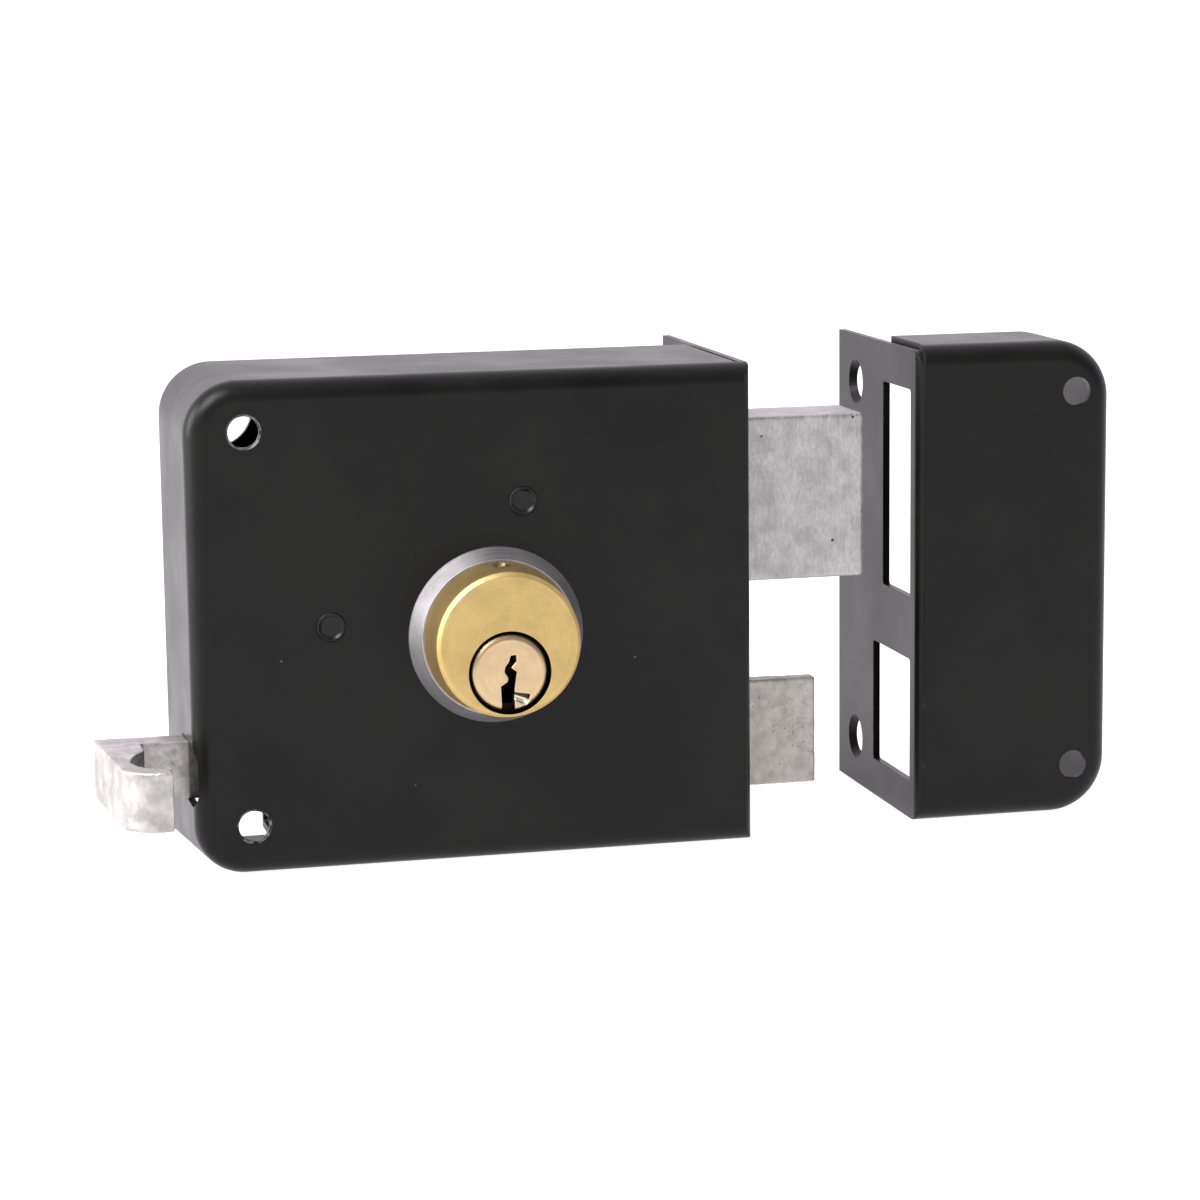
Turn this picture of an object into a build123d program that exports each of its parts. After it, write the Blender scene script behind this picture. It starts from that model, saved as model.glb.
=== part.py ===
"""A rim box lock and its strike box, as the pieces that lie on a bench when both are taken apart.

Lengths are in millimetres. X points the way the bolts are thrown, Y points into the door and Z
points up. The origin lies on the door's face, on the axis that the key turns about. The lock is
drawn locked: the deadbolt is thrown and the latch is sprung out. The strike box stands in front
of the bolts.
"""

import math
import os

from build123d import *

# Sheet steel of the case and of the strike box
sheet = 1.5
plate_bend = 2.4
front_bend = 4.0
plate_gap = 0.8

# Case, whose lower left corner gets sharper towards the door
case_width = 116.0
case_height = 100.0
case_depth = 43.0
case_corner = 11.0
case_back_corner = 2.4
end_plate_reach = 22.0
plug_inset = 62.0
case_screw_radius = 3.15
case_screw_edge_x = 11.7
case_screw_edge_z = 10.1
base_notch_depth = 14.4
hole_bevel = 0.4
plate_screw_radius = 2.5
plate_screw_countersink = 1.1
plate_screw_reach = 11.0
plate_screw_edge = 12.0

# Levels of the mechanism above the underside of the case, as shares of the case's height
plug_share = 0.411
latch_share = 0.0875
bar_share = 0.141
stem_slot_share = 0.138
lever_tab_share = 0.344
lever_stud_share = 0.5
deadbolt_base_share = 0.5285
deadbolt_top_share = 0.8745
guide_stud_share = 0.738

# Clearances
running_fit = 0.05
slip = 0.3
seat_gap = 0.15
overrun = 3.0

# Back plate
back_plate_gap = 0.2
notch_radius = 7.7
bush_spigot_radius = 8.0

# Posts that carry the back plate, and their screws
post_radius = 3.9
post_edge = 8.2
post_left_inset = 24.0
post_right_inset = 9.5
post_left_of_plug = 12.0
post_above_latch = 1.6
post_thread_radius = 1.6
cover_screw_radius = 1.55
cover_screw_length = 8.0
cover_screw_head_radius = 3.2
cover_screw_head = 1.3
cover_screw_slot = 0.7
cover_screw_slot_depth = 0.6

# Lock cylinder, whose own axis lies above the plug's
plug_drop = 5.6
cylinder_radius = 14.65
cylinder_foot_radius = 15.6
cylinder_length = 24.8
cylinder_proud = 13.0
cylinder_edge = 0.7
cylinder_neck_radius = 13.5
plug_head_radius = 8.0
plug_head_gap = 0.4
plug_head = 2.2
plug_head_slope_width = 1.15
plug_head_slope_depth = 0.6
plug_head_round = 1.1
plug_sunk = 0.2
plug_radius = 6.5

# Pins of the cylinder
pin_count = 5
pin_pitch = 3.9
first_pin_depth = 6.6
pin_radius = 1.4
key_pin_shares = (0.954, 1.092, 1.015, 0.892, 1.062)
key_pin_clearance = 0.2
driver_pin_length = 3.4
driver_spring_length = 5.6
driver_spring_turns = 6
driver_spring_wire = 0.2
driver_spring_radius = 1.1
chamber_plug_cup = 0.5

# Keyway: its left and right edges from the top down and its open foot, as shares of the head's radius
keyway_left_shares = (
    (0.025, 0.438), (-0.025, 0.275), (-0.113, 0.163), (-0.144, 0.031), (-0.05, -0.125), (-0.063, -0.225),
    (-0.238, -0.338),
)
keyway_right_shares = (
    (0.169, 0.45), (0.175, 0.275), (0.038, 0.125), (0.181, 0.013), (0.15, -0.188), (0.113, -0.438),
)
keyway_foot_shares = (-0.2, 0.125)
key_notch_start_radius = 0.8
key_notch_radius = 1.4
key_notch_reach = 4.0
key_notch_drop = 4.3
key_notch_depth = 0.9
key_notch_turn = 21.0

# Cap that holds the plug and its tail bar
cap_radius = 7.3
cap_thickness = 1.2
cap_play = 0.08
tail_width = 1.8
tail_height = 4.6
tail_head_width = 5.4
tail_head_height = 8.8
tail_head_thickness = 1.0
tail_reach = 18.6
cap_screw_spread = 4.5
cap_screw_radius = 0.9
cap_screw_length = 3.2
cap_screw_head_radius = 1.6
cap_screw_head = 0.5

# Collar in front of the case and ring nut behind it
collar_radius = 18.1
collar_front_radius = 15.9
collar_proud = 3.6
collar_web = 1.4
nut_radius = 17.4
nut_thickness = 4.4
nut_notch_count = 6
nut_notch_radius = 1.5

# Deadbolt
deadbolt_out = 28.0
deadbolt_length = 44.0
deadbolt_thickness = 16.0
deadbolt_room = 10.8
deadbolt_edge = 0.5
tail_plate = 4.0
tail_lap = 14.0
tail_lap_step = 2.15
tail_top_step = 1.45
tail_corner_cut = 10.0
toe_width = 8.3
toe_gap = 1.3
toe_drop = 5.2
deadbolt_rivet_radius = 1.9
deadbolt_rivet_inset = 10.5
deadbolt_rivet_edge = 4.0

# Rack and pinion that throw the deadbolt: one turn of the key is one throw
module = 1.0
pinion_teeth = 9
pressure_angle = 25.0
rack_addendum = 0.75
pinion_addendum = 0.9
root_clearance = 0.3
backlash = 0.14
rack_extra_throw = 8.0
rack_end_land = 1.0
rack_end_gap = 12.2
flank_steps = 4
pinion_side = 0.15
pinion_hub_radius = 7.0
journal_radius = 6.0
socket_radius = 4.0
socket_depth = 3.0
bush_flange_radius = 10.0
bush_flange = 3.0
bush_play = 0.2

# Stud that guides the deadbolt's tail, and stud of the latch lever
guide_stud_lead = 32.0
lever_stud_clearance = 11.9
stud_head_radius = 2.9
stud_head_proud = 0.25
stud_shoulder_radius = 4.5
guide_stud_radius = 3.0
guide_stud_tip_radius = 2.2
lever_stud_radius = 2.5
stud_end = 1.2
clip_thickness = 0.8
clip_width = 1.7
groove_share = 0.8
mouth_share = 0.8
clip_play = 0.2

# Latch
latch_out = 17.8
latch_travel = 17.5
latch_length = 36.0
latch_room = 12.0
latch_lip = 5.0
latch_lip_end = 3.8
latch_depth = 17.0
latch_height = 22.7
latch_body_drop = 3.8
latch_edge = 0.6
bar_thickness = 4.0
bar_height = 12.0
bar_lap = 12.0
latch_rivet_radius = 1.5
latch_rivet_spread = 6.4
lug_place = 46.5
lug_thickness = 2.5

# Pull knob, cast with its stem: reaches to the left of the case and ahead of its left edge
stem_front_cheek = 2.1
stem_back_cheek = 1.1
stem_inside = 14.0
pull_reach = 18.4
pull_front_reach = 15.8
pull_arm_start = 6.2
pull_arm_thickness = 2.9
pull_nose_lead = 17.4
pull_corner_lead = 12.6
pull_hollow_x = 12.9
pull_hollow_lead = 4.0
pull_cusp_x = 9.4
pull_cusp_set_back = 4.4
pull_front_bulge = 2.0
pull_hollow_scoop = 2.4
pull_cusp_scoop = 0.5
pull_edge = 0.5
pull_rivet_radius = 2.0
pull_rivet_inset = 7.0
bar_end_inset = 3.0

# Slot in the left wall for the stem and the spring
stem_slot_height = 12.6
stem_slot_play = 0.6
stem_slot_corner = 3.5

# Latch spring, its guide rod and bracket
spring_axis_depth = 4.1
bracket_place = 5.2
bracket_thickness = 1.4
bracket_depth = 8.0
bracket_height = 19.0
bracket_foot = 8.0
spring_coil_radius = 2.9
spring_wire_radius = 0.45
spring_turns = 15
quarters_per_turn = 4
samples_per_half_turn = 12
rod_radius = 1.9
rod_head_radius = 2.7
rod_head = 1.2
rod_overhang = 4.0

# Latch lever
lever_gap = 0.8
lever_thickness = 2.0
lever_half_width = 4.6
lever_eye_radius = 6.5
lever_pin_radius = 2.2
lever_pin_play = 0.35
lever_pin_end = 0.8
lever_tab_gap = 0.35
lever_tab_thickness = 2.0
lever_tab_height = 6.0

# Strike box
strike_standoff = 38.0
strike_width = 43.1
strike_overheight = 1.5
strike_plate_step = 1.1
strike_set_back = 6.0
strike_box_depth = 25.0
strike_plate_depth = 54.7
strike_corner = 12.0
slot_corner = 0.8
deadbolt_slot_front_gap = 1.2
deadbolt_slot_back_gap = 1.1
deadbolt_slot_base_gap = 4.95
deadbolt_slot_top_gap = 4.55
latch_slot_front_gap = 2.4
latch_slot_back_gap = 5.4
latch_slot_base_gap = 0.75
latch_slot_top_gap = 3.05
strike_screw_radius = 3.6
strike_screw_countersink = 1.3
strike_screw_y = 5.6
strike_screw_edge = 10.4
strike_front_screw_radius = 3.05
strike_front_screw_edge_x = 8.0
strike_front_screw_edge_z = 10.6

# Places that follow
case_left = -plug_inset
case_right = case_left + case_width
case_base = -plug_share * case_height
case_top = case_base + case_height
case_front = -case_depth
inner_front = case_front + sheet
inner_left = case_left + sheet
plate_inside = case_right - sheet
back_plate_front = -sheet
cylinder_face = case_front - cylinder_proud
cylinder_rear = cylinder_face + cylinder_length
plug_face = cylinder_face + plug_sunk
collar_front = case_front - collar_proud
collar_seat = case_front - collar_web
deadbolt_tip = case_right + deadbolt_out
deadbolt_inner = deadbolt_tip - deadbolt_length
deadbolt_front = inner_front + deadbolt_room
deadbolt_back = deadbolt_front + deadbolt_thickness
deadbolt_base = case_base + deadbolt_base_share * case_height
deadbolt_top = case_base + deadbolt_top_share * case_height
tail_front = deadbolt_back - tail_plate
tail_lap_base = deadbolt_base + tail_lap_step
tail_top = deadbolt_top - tail_top_step
guide_stud_place = (deadbolt_inner - guide_stud_lead, case_base + guide_stud_share * case_height)
lever_stud_x = -(nut_radius + stud_shoulder_radius + lever_stud_clearance)
lever_stud_place = (lever_stud_x, case_base + lever_stud_share * case_height)
pitch_radius = module * pinion_teeth / 2
throw = 2 * math.pi * pitch_radius
latch_tip = case_right + latch_out
latch_inner = latch_tip - latch_length
latch_base = case_base + latch_share * case_height
latch_top = latch_base + latch_height
latch_front = inner_front + latch_room
latch_back = latch_front + latch_depth
bar_base = case_base + bar_share * case_height
bar_top = bar_base + bar_height
bar_axis_z = bar_base + bar_height / 2
bar_back = latch_front + bar_thickness
stem_front = latch_front - stem_front_cheek
stem_back = bar_back + stem_back_cheek
pull_nose = case_front - pull_nose_lead
spring_axis_y = inner_front + spring_axis_depth
lever_front = bar_back + lever_gap
lever_back = lever_front + lever_thickness
post_top_level = (deadbolt_top + case_top - front_bend) / 2
post_places = (
    (case_left + post_left_inset, post_top_level),
    (case_right - post_right_inset, post_top_level),
    (case_right - post_right_inset, latch_top + post_above_latch + post_radius),
    (-post_left_of_plug, case_base + post_edge),
)
strike_left = case_right + strike_standoff
strike_front = case_front + strike_set_back
strike_height = case_height + strike_overheight
strike_plate_height = strike_height - strike_plate_step


def block(low, high):
    """A box from its lowest corner to its highest."""
    size = [end - start for start, end in zip(low, high)]
    return Pos(*low) * Box(*size, align=(Align.MIN, Align.MIN, Align.MIN))


def rod_x(radius, start, end, y, z):
    """A round bar along X."""
    bar = Cylinder(radius, end - start, align=(Align.CENTER, Align.CENTER, Align.MIN))
    return Pos(start, y, z) * Rot(0, 90, 0) * bar


def rod_y(radius, start, end, x, z):
    """A round bar along Y."""
    bar = Cylinder(radius, end - start, align=(Align.CENTER, Align.CENTER, Align.MIN))
    return Pos(x, start, z) * Rot(-90, 0, 0) * bar


def cone_y(start_radius, end_radius, start, end, x, z):
    """A round taper along Y."""
    taper = Cone(start_radius, end_radius, end - start, align=(Align.CENTER, Align.CENTER, Align.MIN))
    return Pos(x, start, z) * Rot(-90, 0, 0) * taper


def cone_x(start_radius, end_radius, start, end, y, z):
    """A round taper along X."""
    taper = Cone(start_radius, end_radius, end - start, align=(Align.CENTER, Align.CENTER, Align.MIN))
    return Pos(start, y, z) * Rot(0, 90, 0) * taper


def rod_z(radius, start, end, x, y):
    """A round bar along Z."""
    bar = Cylinder(radius, end - start, align=(Align.CENTER, Align.CENTER, Align.MIN))
    return Pos(x, y, start) * bar


def front_prism(outline, start, end):
    """A flat shape drawn in X and Z, as a slab from one Y to another."""
    face = Plane.XZ.offset(-start) * make_face(outline)
    return extrude(face, amount=start - end)


def plan_prism(outline, start, end):
    """A flat shape drawn in X and Y, as a slab from one Z to another."""
    face = Plane.XY.offset(start) * make_face(outline)
    return extrude(face, amount=end - start)


def closed(points):
    """A closed outline of straight lines."""
    return Polyline(*points, close=True)


def corner_waste(left, base, radius):
    """The outline of what a round lower left corner leaves outside it."""
    path = [RadiusArc((left + radius, base), (left, base + radius), radius)]
    points = ((left, base + radius), (left - overrun, base + radius), (left - overrun, base - overrun))
    points += ((left + radius, base - overrun), (left + radius, base))
    return Curve() + path + [Line(start, end) for start, end in zip(points, points[1:])]


def tray(low, high, corner, back_corner, fold):
    """A solid block with two round corners on its left and a bend all round its front but the right.

    The lower corner's radius changes to back_corner at the back.
    """
    left, front, base = low
    solid = block(low, high)
    solid = fillet(solid.edges().filter_by(Axis.Y).group_by(Axis.X)[0].sort_by(Axis.Z)[-1], corner)
    start = Plane.XZ.offset(-front) * make_face(corner_waste(left, base, corner))
    end = Plane.XZ.offset(-high[1]) * make_face(corner_waste(left, base, back_corner))
    solid -= loft([start, end], ruled=True)
    front_face = solid.faces().sort_by(Axis.Y)[0]
    return fillet(front_face.edges().sort_by(Axis.X)[:-1], fold)


def folded_box(width, height, depth, corner, back_corner, plate_height, plate_depth):
    """A sheet box open at the back. Its end plate's outer face lies at X 0, its front at Y 0."""
    outer = tray((-width, 0, 0), (-sheet, depth, height), corner, back_corner, front_bend)
    inner_low = (-width + sheet, sheet, sheet)
    inner_high = (-sheet + overrun, depth + overrun, height - sheet)
    box = outer - tray(inner_low, inner_high, corner - sheet, back_corner - sheet, front_bend - sheet)
    wall_end = -sheet - plate_gap
    box -= block((wall_end, front_bend, -overrun), (0, depth + overrun, height + overrun))
    strip_start = wall_end - plate_bend
    folded = block((strip_start, 0, 0), (0, plate_depth, plate_height))
    folded = fillet(folded.edges().filter_by(Axis.Z).group_by(Axis.X)[-1].sort_by(Axis.Y)[0], plate_bend)
    hollow_high = (-sheet, plate_depth + overrun, height + overrun)
    hollow = block((strip_start - overrun, sheet, -overrun), hollow_high)
    inner_bend = plate_bend - sheet
    hollow = fillet(hollow.edges().filter_by(Axis.Z).group_by(Axis.X)[-1].sort_by(Axis.Y)[0], inner_bend)
    profile = block((strip_start - overrun, 0, 0), (overrun, plate_depth, plate_height))
    profile = fillet(profile.edges().filter_by(Axis.X).group_by(Axis.Y)[0], front_bend)
    return box + ((folded - hollow) & profile)


def case_shell():
    """The case: front, three walls and the end plate that the bolts pass through."""
    plate_depth = case_depth + end_plate_reach
    shell = folded_box(
        case_width, case_height, case_depth, case_corner, case_back_corner, case_height, plate_depth
    )
    shell = Pos(case_right, case_front, case_base) * shell
    notch_left = case_left + case_screw_edge_x - notch_radius
    notch_high = (notch_left + 2 * notch_radius, overrun, case_base + sheet + overrun)
    shell -= block((notch_left, -base_notch_depth, case_base - overrun), notch_high)
    neck = cylinder_neck_radius + seat_gap
    shell -= rod_y(neck, case_front - overrun, inner_front + overrun, 0, plug_drop)
    for x, z in (guide_stud_place, lever_stud_place):
        shell -= rod_y(stud_head_radius + running_fit, case_front - overrun, inner_front + overrun, x, z)
    for x, z in case_screw_places():
        shell -= rod_y(case_screw_radius, case_front - overrun, inner_front + overrun, x, z)
        flare = case_screw_radius + hole_bevel
        shell -= cone_y(flare, case_screw_radius, case_front, case_front + hole_bevel, x, z)
    for front, back, base, top in (deadbolt_section(), latch_section()):
        low = (plate_inside - overrun, front - slip, base - slip)
        shell -= block(low, (case_right + overrun, back + slip, top + slip))
    for z in (case_base + plate_screw_edge, case_top - plate_screw_edge):
        end = case_right + overrun
        shell -= rod_x(plate_screw_radius, plate_inside - overrun, end, plate_screw_reach, z)
        sink = plate_screw_radius + plate_screw_countersink
        sink_start = case_right - plate_screw_countersink
        shell -= cone_x(plate_screw_radius, sink, sink_start, case_right, plate_screw_reach, z)
    return shell - stem_slot()


def case_screw_places():
    """X and Z of the two long case screws at the left."""
    x = case_left + case_screw_edge_x
    return (x, case_base + case_screw_edge_z), (x, case_top - case_screw_edge_z)


def deadbolt_section():
    """Front, back, base and top of the deadbolt."""
    return deadbolt_front, deadbolt_back, deadbolt_base, deadbolt_top


def latch_section():
    """Front, back, base and top of the latch."""
    return latch_front, latch_back, latch_base, latch_top


def stem_slot():
    """The slot in the left wall, round at its two front corners."""
    base = case_base + stem_slot_share * case_height
    high = (inner_left + overrun, stem_back + stem_slot_play, base + stem_slot_height)
    slot = block((case_left - overrun, inner_front, base), high)
    return fillet(slot.edges().filter_by(Axis.X).group_by(Axis.Y)[0], stem_slot_corner)


def back_plate():
    """The plate that closes the case against the door, notched round the two case screws."""
    low = (inner_left + back_plate_gap, back_plate_front, case_base + sheet + back_plate_gap)
    high = (plate_inside - back_plate_gap, 0, case_top - sheet - back_plate_gap)
    plate = block(low, high)
    for x, z in case_screw_places():
        edge = case_base - overrun if z < 0 else case_top + overrun
        z_low, z_high = sorted((z, edge))
        x_edge = case_left - overrun
        plate -= rod_y(notch_radius, back_plate_front - overrun, overrun, x, z)
        plate -= block((x_edge, back_plate_front - overrun, z_low), (x + notch_radius, overrun, z_high))
        z_low, z_high = sorted((z + math.copysign(notch_radius, -z), edge))
        plate -= block((x_edge, back_plate_front - overrun, z_low), (x, overrun, z_high))
    plate -= rod_y(bush_spigot_radius + running_fit, back_plate_front - overrun, overrun, 0, 0)
    for x, z in post_places:
        plate -= rod_y(cover_screw_radius + seat_gap, back_plate_front - overrun, overrun, x, z)
        head = cover_screw_head_radius + running_fit
        plate -= cone_y(cover_screw_radius + running_fit, head, -cover_screw_head, 0, x, z)
    x, z = guide_stud_place
    return plate - rod_y(guide_stud_tip_radius + seat_gap, back_plate_front - overrun, overrun, x, z)


def cover_posts():
    """Threaded posts, welded to the inside of the case's front."""
    posts = []
    for x, z in post_places:
        post = rod_y(post_radius, inner_front, back_plate_front, x, z)
        hole_end = -cover_screw_length - post_thread_radius
        posts.append(post - rod_y(post_thread_radius, hole_end, overrun, x, z))
    return Compound(posts)


def back_plate_screws():
    """Countersunk screws that hold the back plate to its posts."""
    screws = []
    for x, z in post_places:
        screw = rod_y(cover_screw_radius, -cover_screw_length, -cover_screw_head, x, z)
        screw += cone_y(cover_screw_radius, cover_screw_head_radius, -cover_screw_head, 0, x, z)
        half = cover_screw_slot / 2
        low = (x - cover_screw_head_radius, -cover_screw_slot_depth, z - half)
        screws.append(screw - block(low, (x + cover_screw_head_radius, overrun, z + half)))
    return Compound(screws)


def stud(place, radius, seat, end):
    """A stud riveted into the case's front, with a shoulder up to seat and a groove for its clip."""
    x, z = place
    solid = rod_y(stud_shoulder_radius, inner_front, seat, x, z)
    solid += rod_y(stud_head_radius, case_front - stud_head_proud, inner_front, x, z)
    rim = solid.edges().filter_by(GeomType.CIRCLE).sort_by(Axis.Y)[0]
    solid = fillet(rim, stud_head_proud)
    return solid + rod_y(radius, seat, end, x, z)


def clip_start(carried_back):
    """Where a clip begins behind the piece that it holds."""
    return carried_back + clip_play


def grooved(solid, place, radius, start):
    """The stud with its clip's groove cut."""
    x, z = place
    end = start + clip_thickness
    ring = rod_y(radius + overrun, start, end, x, z) - rod_y(radius * groove_share, start, end, x, z)
    return solid - ring


def clip(place, radius, start):
    """A spring clip, open below, that sits in a stud's groove."""
    x, z = place
    inner = radius * groove_share
    end = start + clip_thickness
    ring = rod_y(radius + clip_width, start, end, x, z) - rod_y(inner, start, end, x, z)
    mouth = inner * mouth_share
    return ring - block((x - mouth, start, z - radius - overrun), (x + mouth, end, z))


def deadbolt_guide_stud():
    """The stud that runs in the slot of the deadbolt's tail and ends in the back plate."""
    start = clip_start(deadbolt_back)
    seat = tail_front - pinion_side
    end = start + clip_thickness + stud_end
    solid = stud(guide_stud_place, guide_stud_radius, seat, end)
    x, z = guide_stud_place
    solid = grooved(solid, guide_stud_place, guide_stud_radius, start)
    return solid + rod_y(guide_stud_tip_radius, end, 0, x, z)


def guide_stud_clip():
    """The clip behind the deadbolt's tail."""
    return clip(guide_stud_place, guide_stud_radius, clip_start(deadbolt_back))


def lever_stud():
    """The stud that the latch lever turns on."""
    start = clip_start(lever_back)
    end = start + clip_thickness + stud_end
    solid = stud(lever_stud_place, lever_stud_radius, lever_front - clip_play, end)
    return grooved(solid, lever_stud_place, lever_stud_radius, start)


def lever_clip():
    """The clip behind the latch lever."""
    return clip(lever_stud_place, lever_stud_radius, clip_start(lever_back))


def pin_places():
    """Y of each pin of the cylinder, from the front."""
    return [cylinder_face + first_pin_depth + index * pin_pitch for index in range(pin_count)]


def cylinder_form():
    """The solid outer form of the cylinder: a head that widens to its foot, a spigot and a thinner neck."""
    foot = collar_front - seat_gap
    head = cone_y(cylinder_radius, cylinder_foot_radius, cylinder_face, foot, 0, plug_drop)
    head = chamfer(head.edges().filter_by(GeomType.CIRCLE).sort_by(Axis.Y)[0], cylinder_edge)
    head += rod_y(cylinder_radius, foot, collar_seat, 0, plug_drop)
    return head + rod_y(cylinder_neck_radius, collar_seat, cylinder_rear, 0, plug_drop)


def cylinder_body():
    """The brass cylinder, bored for the plug and for five stacks of pins."""
    body = cylinder_form()
    body -= rod_y(plug_radius + running_fit, cylinder_face - overrun, cylinder_rear + overrun, 0, 0)
    head_seat = plug_face + plug_head + running_fit
    body -= rod_y(plug_head_radius + plug_head_gap, cylinder_face - overrun, head_seat, 0, 0)
    top = plug_drop + cylinder_radius + overrun
    for y in pin_places():
        body -= rod_z(pin_radius + running_fit, 0, top, 0, y)
    return body


def driver_pin_base():
    """Z of the foot of the driver pins, just above the plug."""
    return plug_radius + running_fit


def spring_base():
    """Z of the foot of the driver springs."""
    return driver_pin_base() + driver_pin_length


def chamber_plug_base():
    """Z of the foot of the plugs that close the pin chambers."""
    return spring_base() + driver_spring_length


def driver_pins():
    """The upper pins, which the springs press down."""
    base = driver_pin_base()
    return Compound([rod_z(pin_radius, base, base + driver_pin_length, 0, y) for y in pin_places()])


def driver_springs():
    """The small springs over the driver pins."""
    spring = coil_spring(
        "driver_springs", driver_spring_length, driver_spring_radius, driver_spring_wire, driver_spring_turns
    )
    return Compound([Pos(0, y, spring_base()) * spring for y in pin_places()])


def chamber_plugs():
    """Round plugs, cupped on top, that close the pin chambers flush with the cylinder's side."""
    form = cylinder_form()
    top = plug_drop + cylinder_radius + overrun
    plugs = []
    for y in pin_places():
        closing = rod_z(pin_radius, chamber_plug_base(), top, 0, y) & form
        cup_base = closing.bounding_box().max.Z - chamber_plug_cup
        plugs.append(closing - rod_z(pin_radius - chamber_plug_cup, cup_base, top, 0, y))
    return Compound(plugs)


def plug_rear():
    """Y of the plug's rear face, on which its cap sits."""
    return cylinder_rear + cap_play


def plug():
    """The plug that the key turns, with its keyway, pin holes and the pocket for the tail bar."""
    slope_end = plug_face + plug_head_slope_depth
    solid = cone_y(plug_head_radius - plug_head_slope_width, plug_head_radius, plug_face, slope_end, 0, 0)
    solid += rod_y(plug_head_radius, slope_end, plug_face + plug_head, 0, 0)
    solid = fillet(solid.edges().filter_by(GeomType.CIRCLE).sort_by(Axis.Y)[:2], plug_head_round)
    solid += rod_y(plug_radius, plug_face + plug_head, plug_rear(), 0, 0)
    left, right = keyway_foot_shares
    foot = (plug_head_radius + overrun) / plug_head_radius
    outline = (*keyway_left_shares, (left, -foot), (right, -foot), *reversed(keyway_right_shares))
    outline = [(plug_head_radius * across, plug_head_radius * up) for across, up in outline]
    solid -= front_prism(closed(outline), plug_face - overrun, plug_rear() + overrun)
    lowest = plug_radius - key_pin_clearance - max(key_pin_shares) * plug_radius
    for y in pin_places():
        solid -= rod_z(pin_radius + running_fit, lowest, plug_head_radius, 0, y)
    solid -= tail_head(running_fit)
    for x in (-cap_screw_spread, cap_screw_spread):
        solid -= rod_y(cap_screw_radius, plug_rear() - cap_screw_length, plug_rear() + overrun, x, 0)
    return solid - key_notch()


def key_notch():
    """The milled notch beside the foot of the keyway, wider and deeper as it slants down to the right."""
    cutter = cone_x(key_notch_start_radius, key_notch_radius, 0, key_notch_reach, 0, 0)
    lift = key_notch_radius - key_notch_depth
    return Pos(0, plug_face - lift, -key_notch_drop) * Rot(0, key_notch_turn, 0) * cutter


def key_pins():
    """The lower pins, drawn as high as a key lifts them."""
    top = plug_radius - key_pin_clearance
    pins = []
    for y, share in zip(pin_places(), key_pin_shares):
        pins.append(rod_z(pin_radius, top - share * plug_radius, top, 0, y))
    return Compound(pins)


def tail_head(gap):
    """The head of the tail bar, or with a gap the pocket that holds it."""
    half_width = tail_head_width / 2 + gap
    half_height = tail_head_height / 2 + gap
    start = plug_rear() - tail_head_thickness - gap
    return block((-half_width, start, -half_height), (half_width, plug_rear(), half_height))


def tail_blade(gap, start, end):
    """The flat bar that turns the pinion, or with a gap the slot that it passes through."""
    half_width = tail_width / 2 + gap
    half_height = tail_height / 2 + gap
    return block((-half_width, start, -half_height), (half_width, end, half_height))


def tail_bar():
    """The flat bar between the plug and the pinion."""
    return tail_head(0) + tail_blade(0, plug_rear(), plug_rear() + tail_reach)


def plug_cap():
    """The round cap behind the cylinder that holds the plug and the tail bar."""
    end = plug_rear() + cap_thickness
    cap = rod_y(cap_radius, plug_rear(), end, 0, 0)
    cap -= tail_blade(running_fit, plug_rear() - overrun, end + overrun)
    for x in (-cap_screw_spread, cap_screw_spread):
        cap -= rod_y(cap_screw_radius + running_fit, plug_rear() - overrun, end + overrun, x, 0)
    return cap


def plug_cap_screws():
    """Two small screws that hold the cap on the plug."""
    start = plug_rear() - cap_screw_length
    seat = plug_rear() + cap_thickness
    screws = []
    for x in (-cap_screw_spread, cap_screw_spread):
        head = rod_y(cap_screw_head_radius, seat, seat + cap_screw_head, x, 0)
        screws.append(head + rod_y(cap_screw_radius, start, seat, x, 0))
    return Compound(screws)


def involute(base_radius, radius):
    """The angle, in radians, that an involute turns through from its base circle to a radius."""
    roll = math.sqrt(max(0, (radius / base_radius) ** 2 - 1))
    return roll - math.atan(roll)


def pinion_outline():
    """The pinion's teeth, with a gap between two teeth at the top, where the rack meshes."""
    base_radius = pitch_radius * math.cos(math.radians(pressure_angle))
    tip = pitch_radius + pinion_addendum
    root = pitch_radius - rack_addendum - root_clearance
    half_tooth = (math.pi * module - backlash) / 4 / pitch_radius
    half_tooth += involute(base_radius, pitch_radius)
    step = (tip - base_radius) / flank_steps
    flank = [base_radius + index * step for index in range(flank_steps + 1)]
    points = []
    for tooth in range(pinion_teeth):
        middle = math.pi / 2 + (tooth + 1 / 2) * 2 * math.pi / pinion_teeth
        leans = [(radius, half_tooth - involute(base_radius, radius)) for radius in flank]
        rising = [(radius, middle - lean) for radius, lean in leans]
        falling = [(radius, middle + lean) for radius, lean in reversed(leans)]
        foot = [(root, middle - half_tooth)]
        heel = [(root, middle + half_tooth)]
        for radius, angle in foot + rising + falling + heel:
            points.append((radius * math.cos(angle), radius * math.sin(angle)))
    return points


def journal_start():
    """Y of the shoulder where the pinion's hub steps down to its journal."""
    return back_plate_front - bush_flange - bush_play


def drive_pinion():
    """The pinion, with a hub that turns in the back plate's bush and takes an outside tail bar."""
    solid = front_prism(closed(pinion_outline()), tail_front - pinion_side, deadbolt_back + pinion_side)
    solid += rod_y(pinion_hub_radius, deadbolt_back + pinion_side, journal_start(), 0, 0)
    solid += rod_y(journal_radius, journal_start(), 0, 0, 0)
    solid -= tail_blade(running_fit, tail_front - overrun, overrun)
    return solid - rod_y(socket_radius, -socket_depth, overrun, 0, 0)


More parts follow.
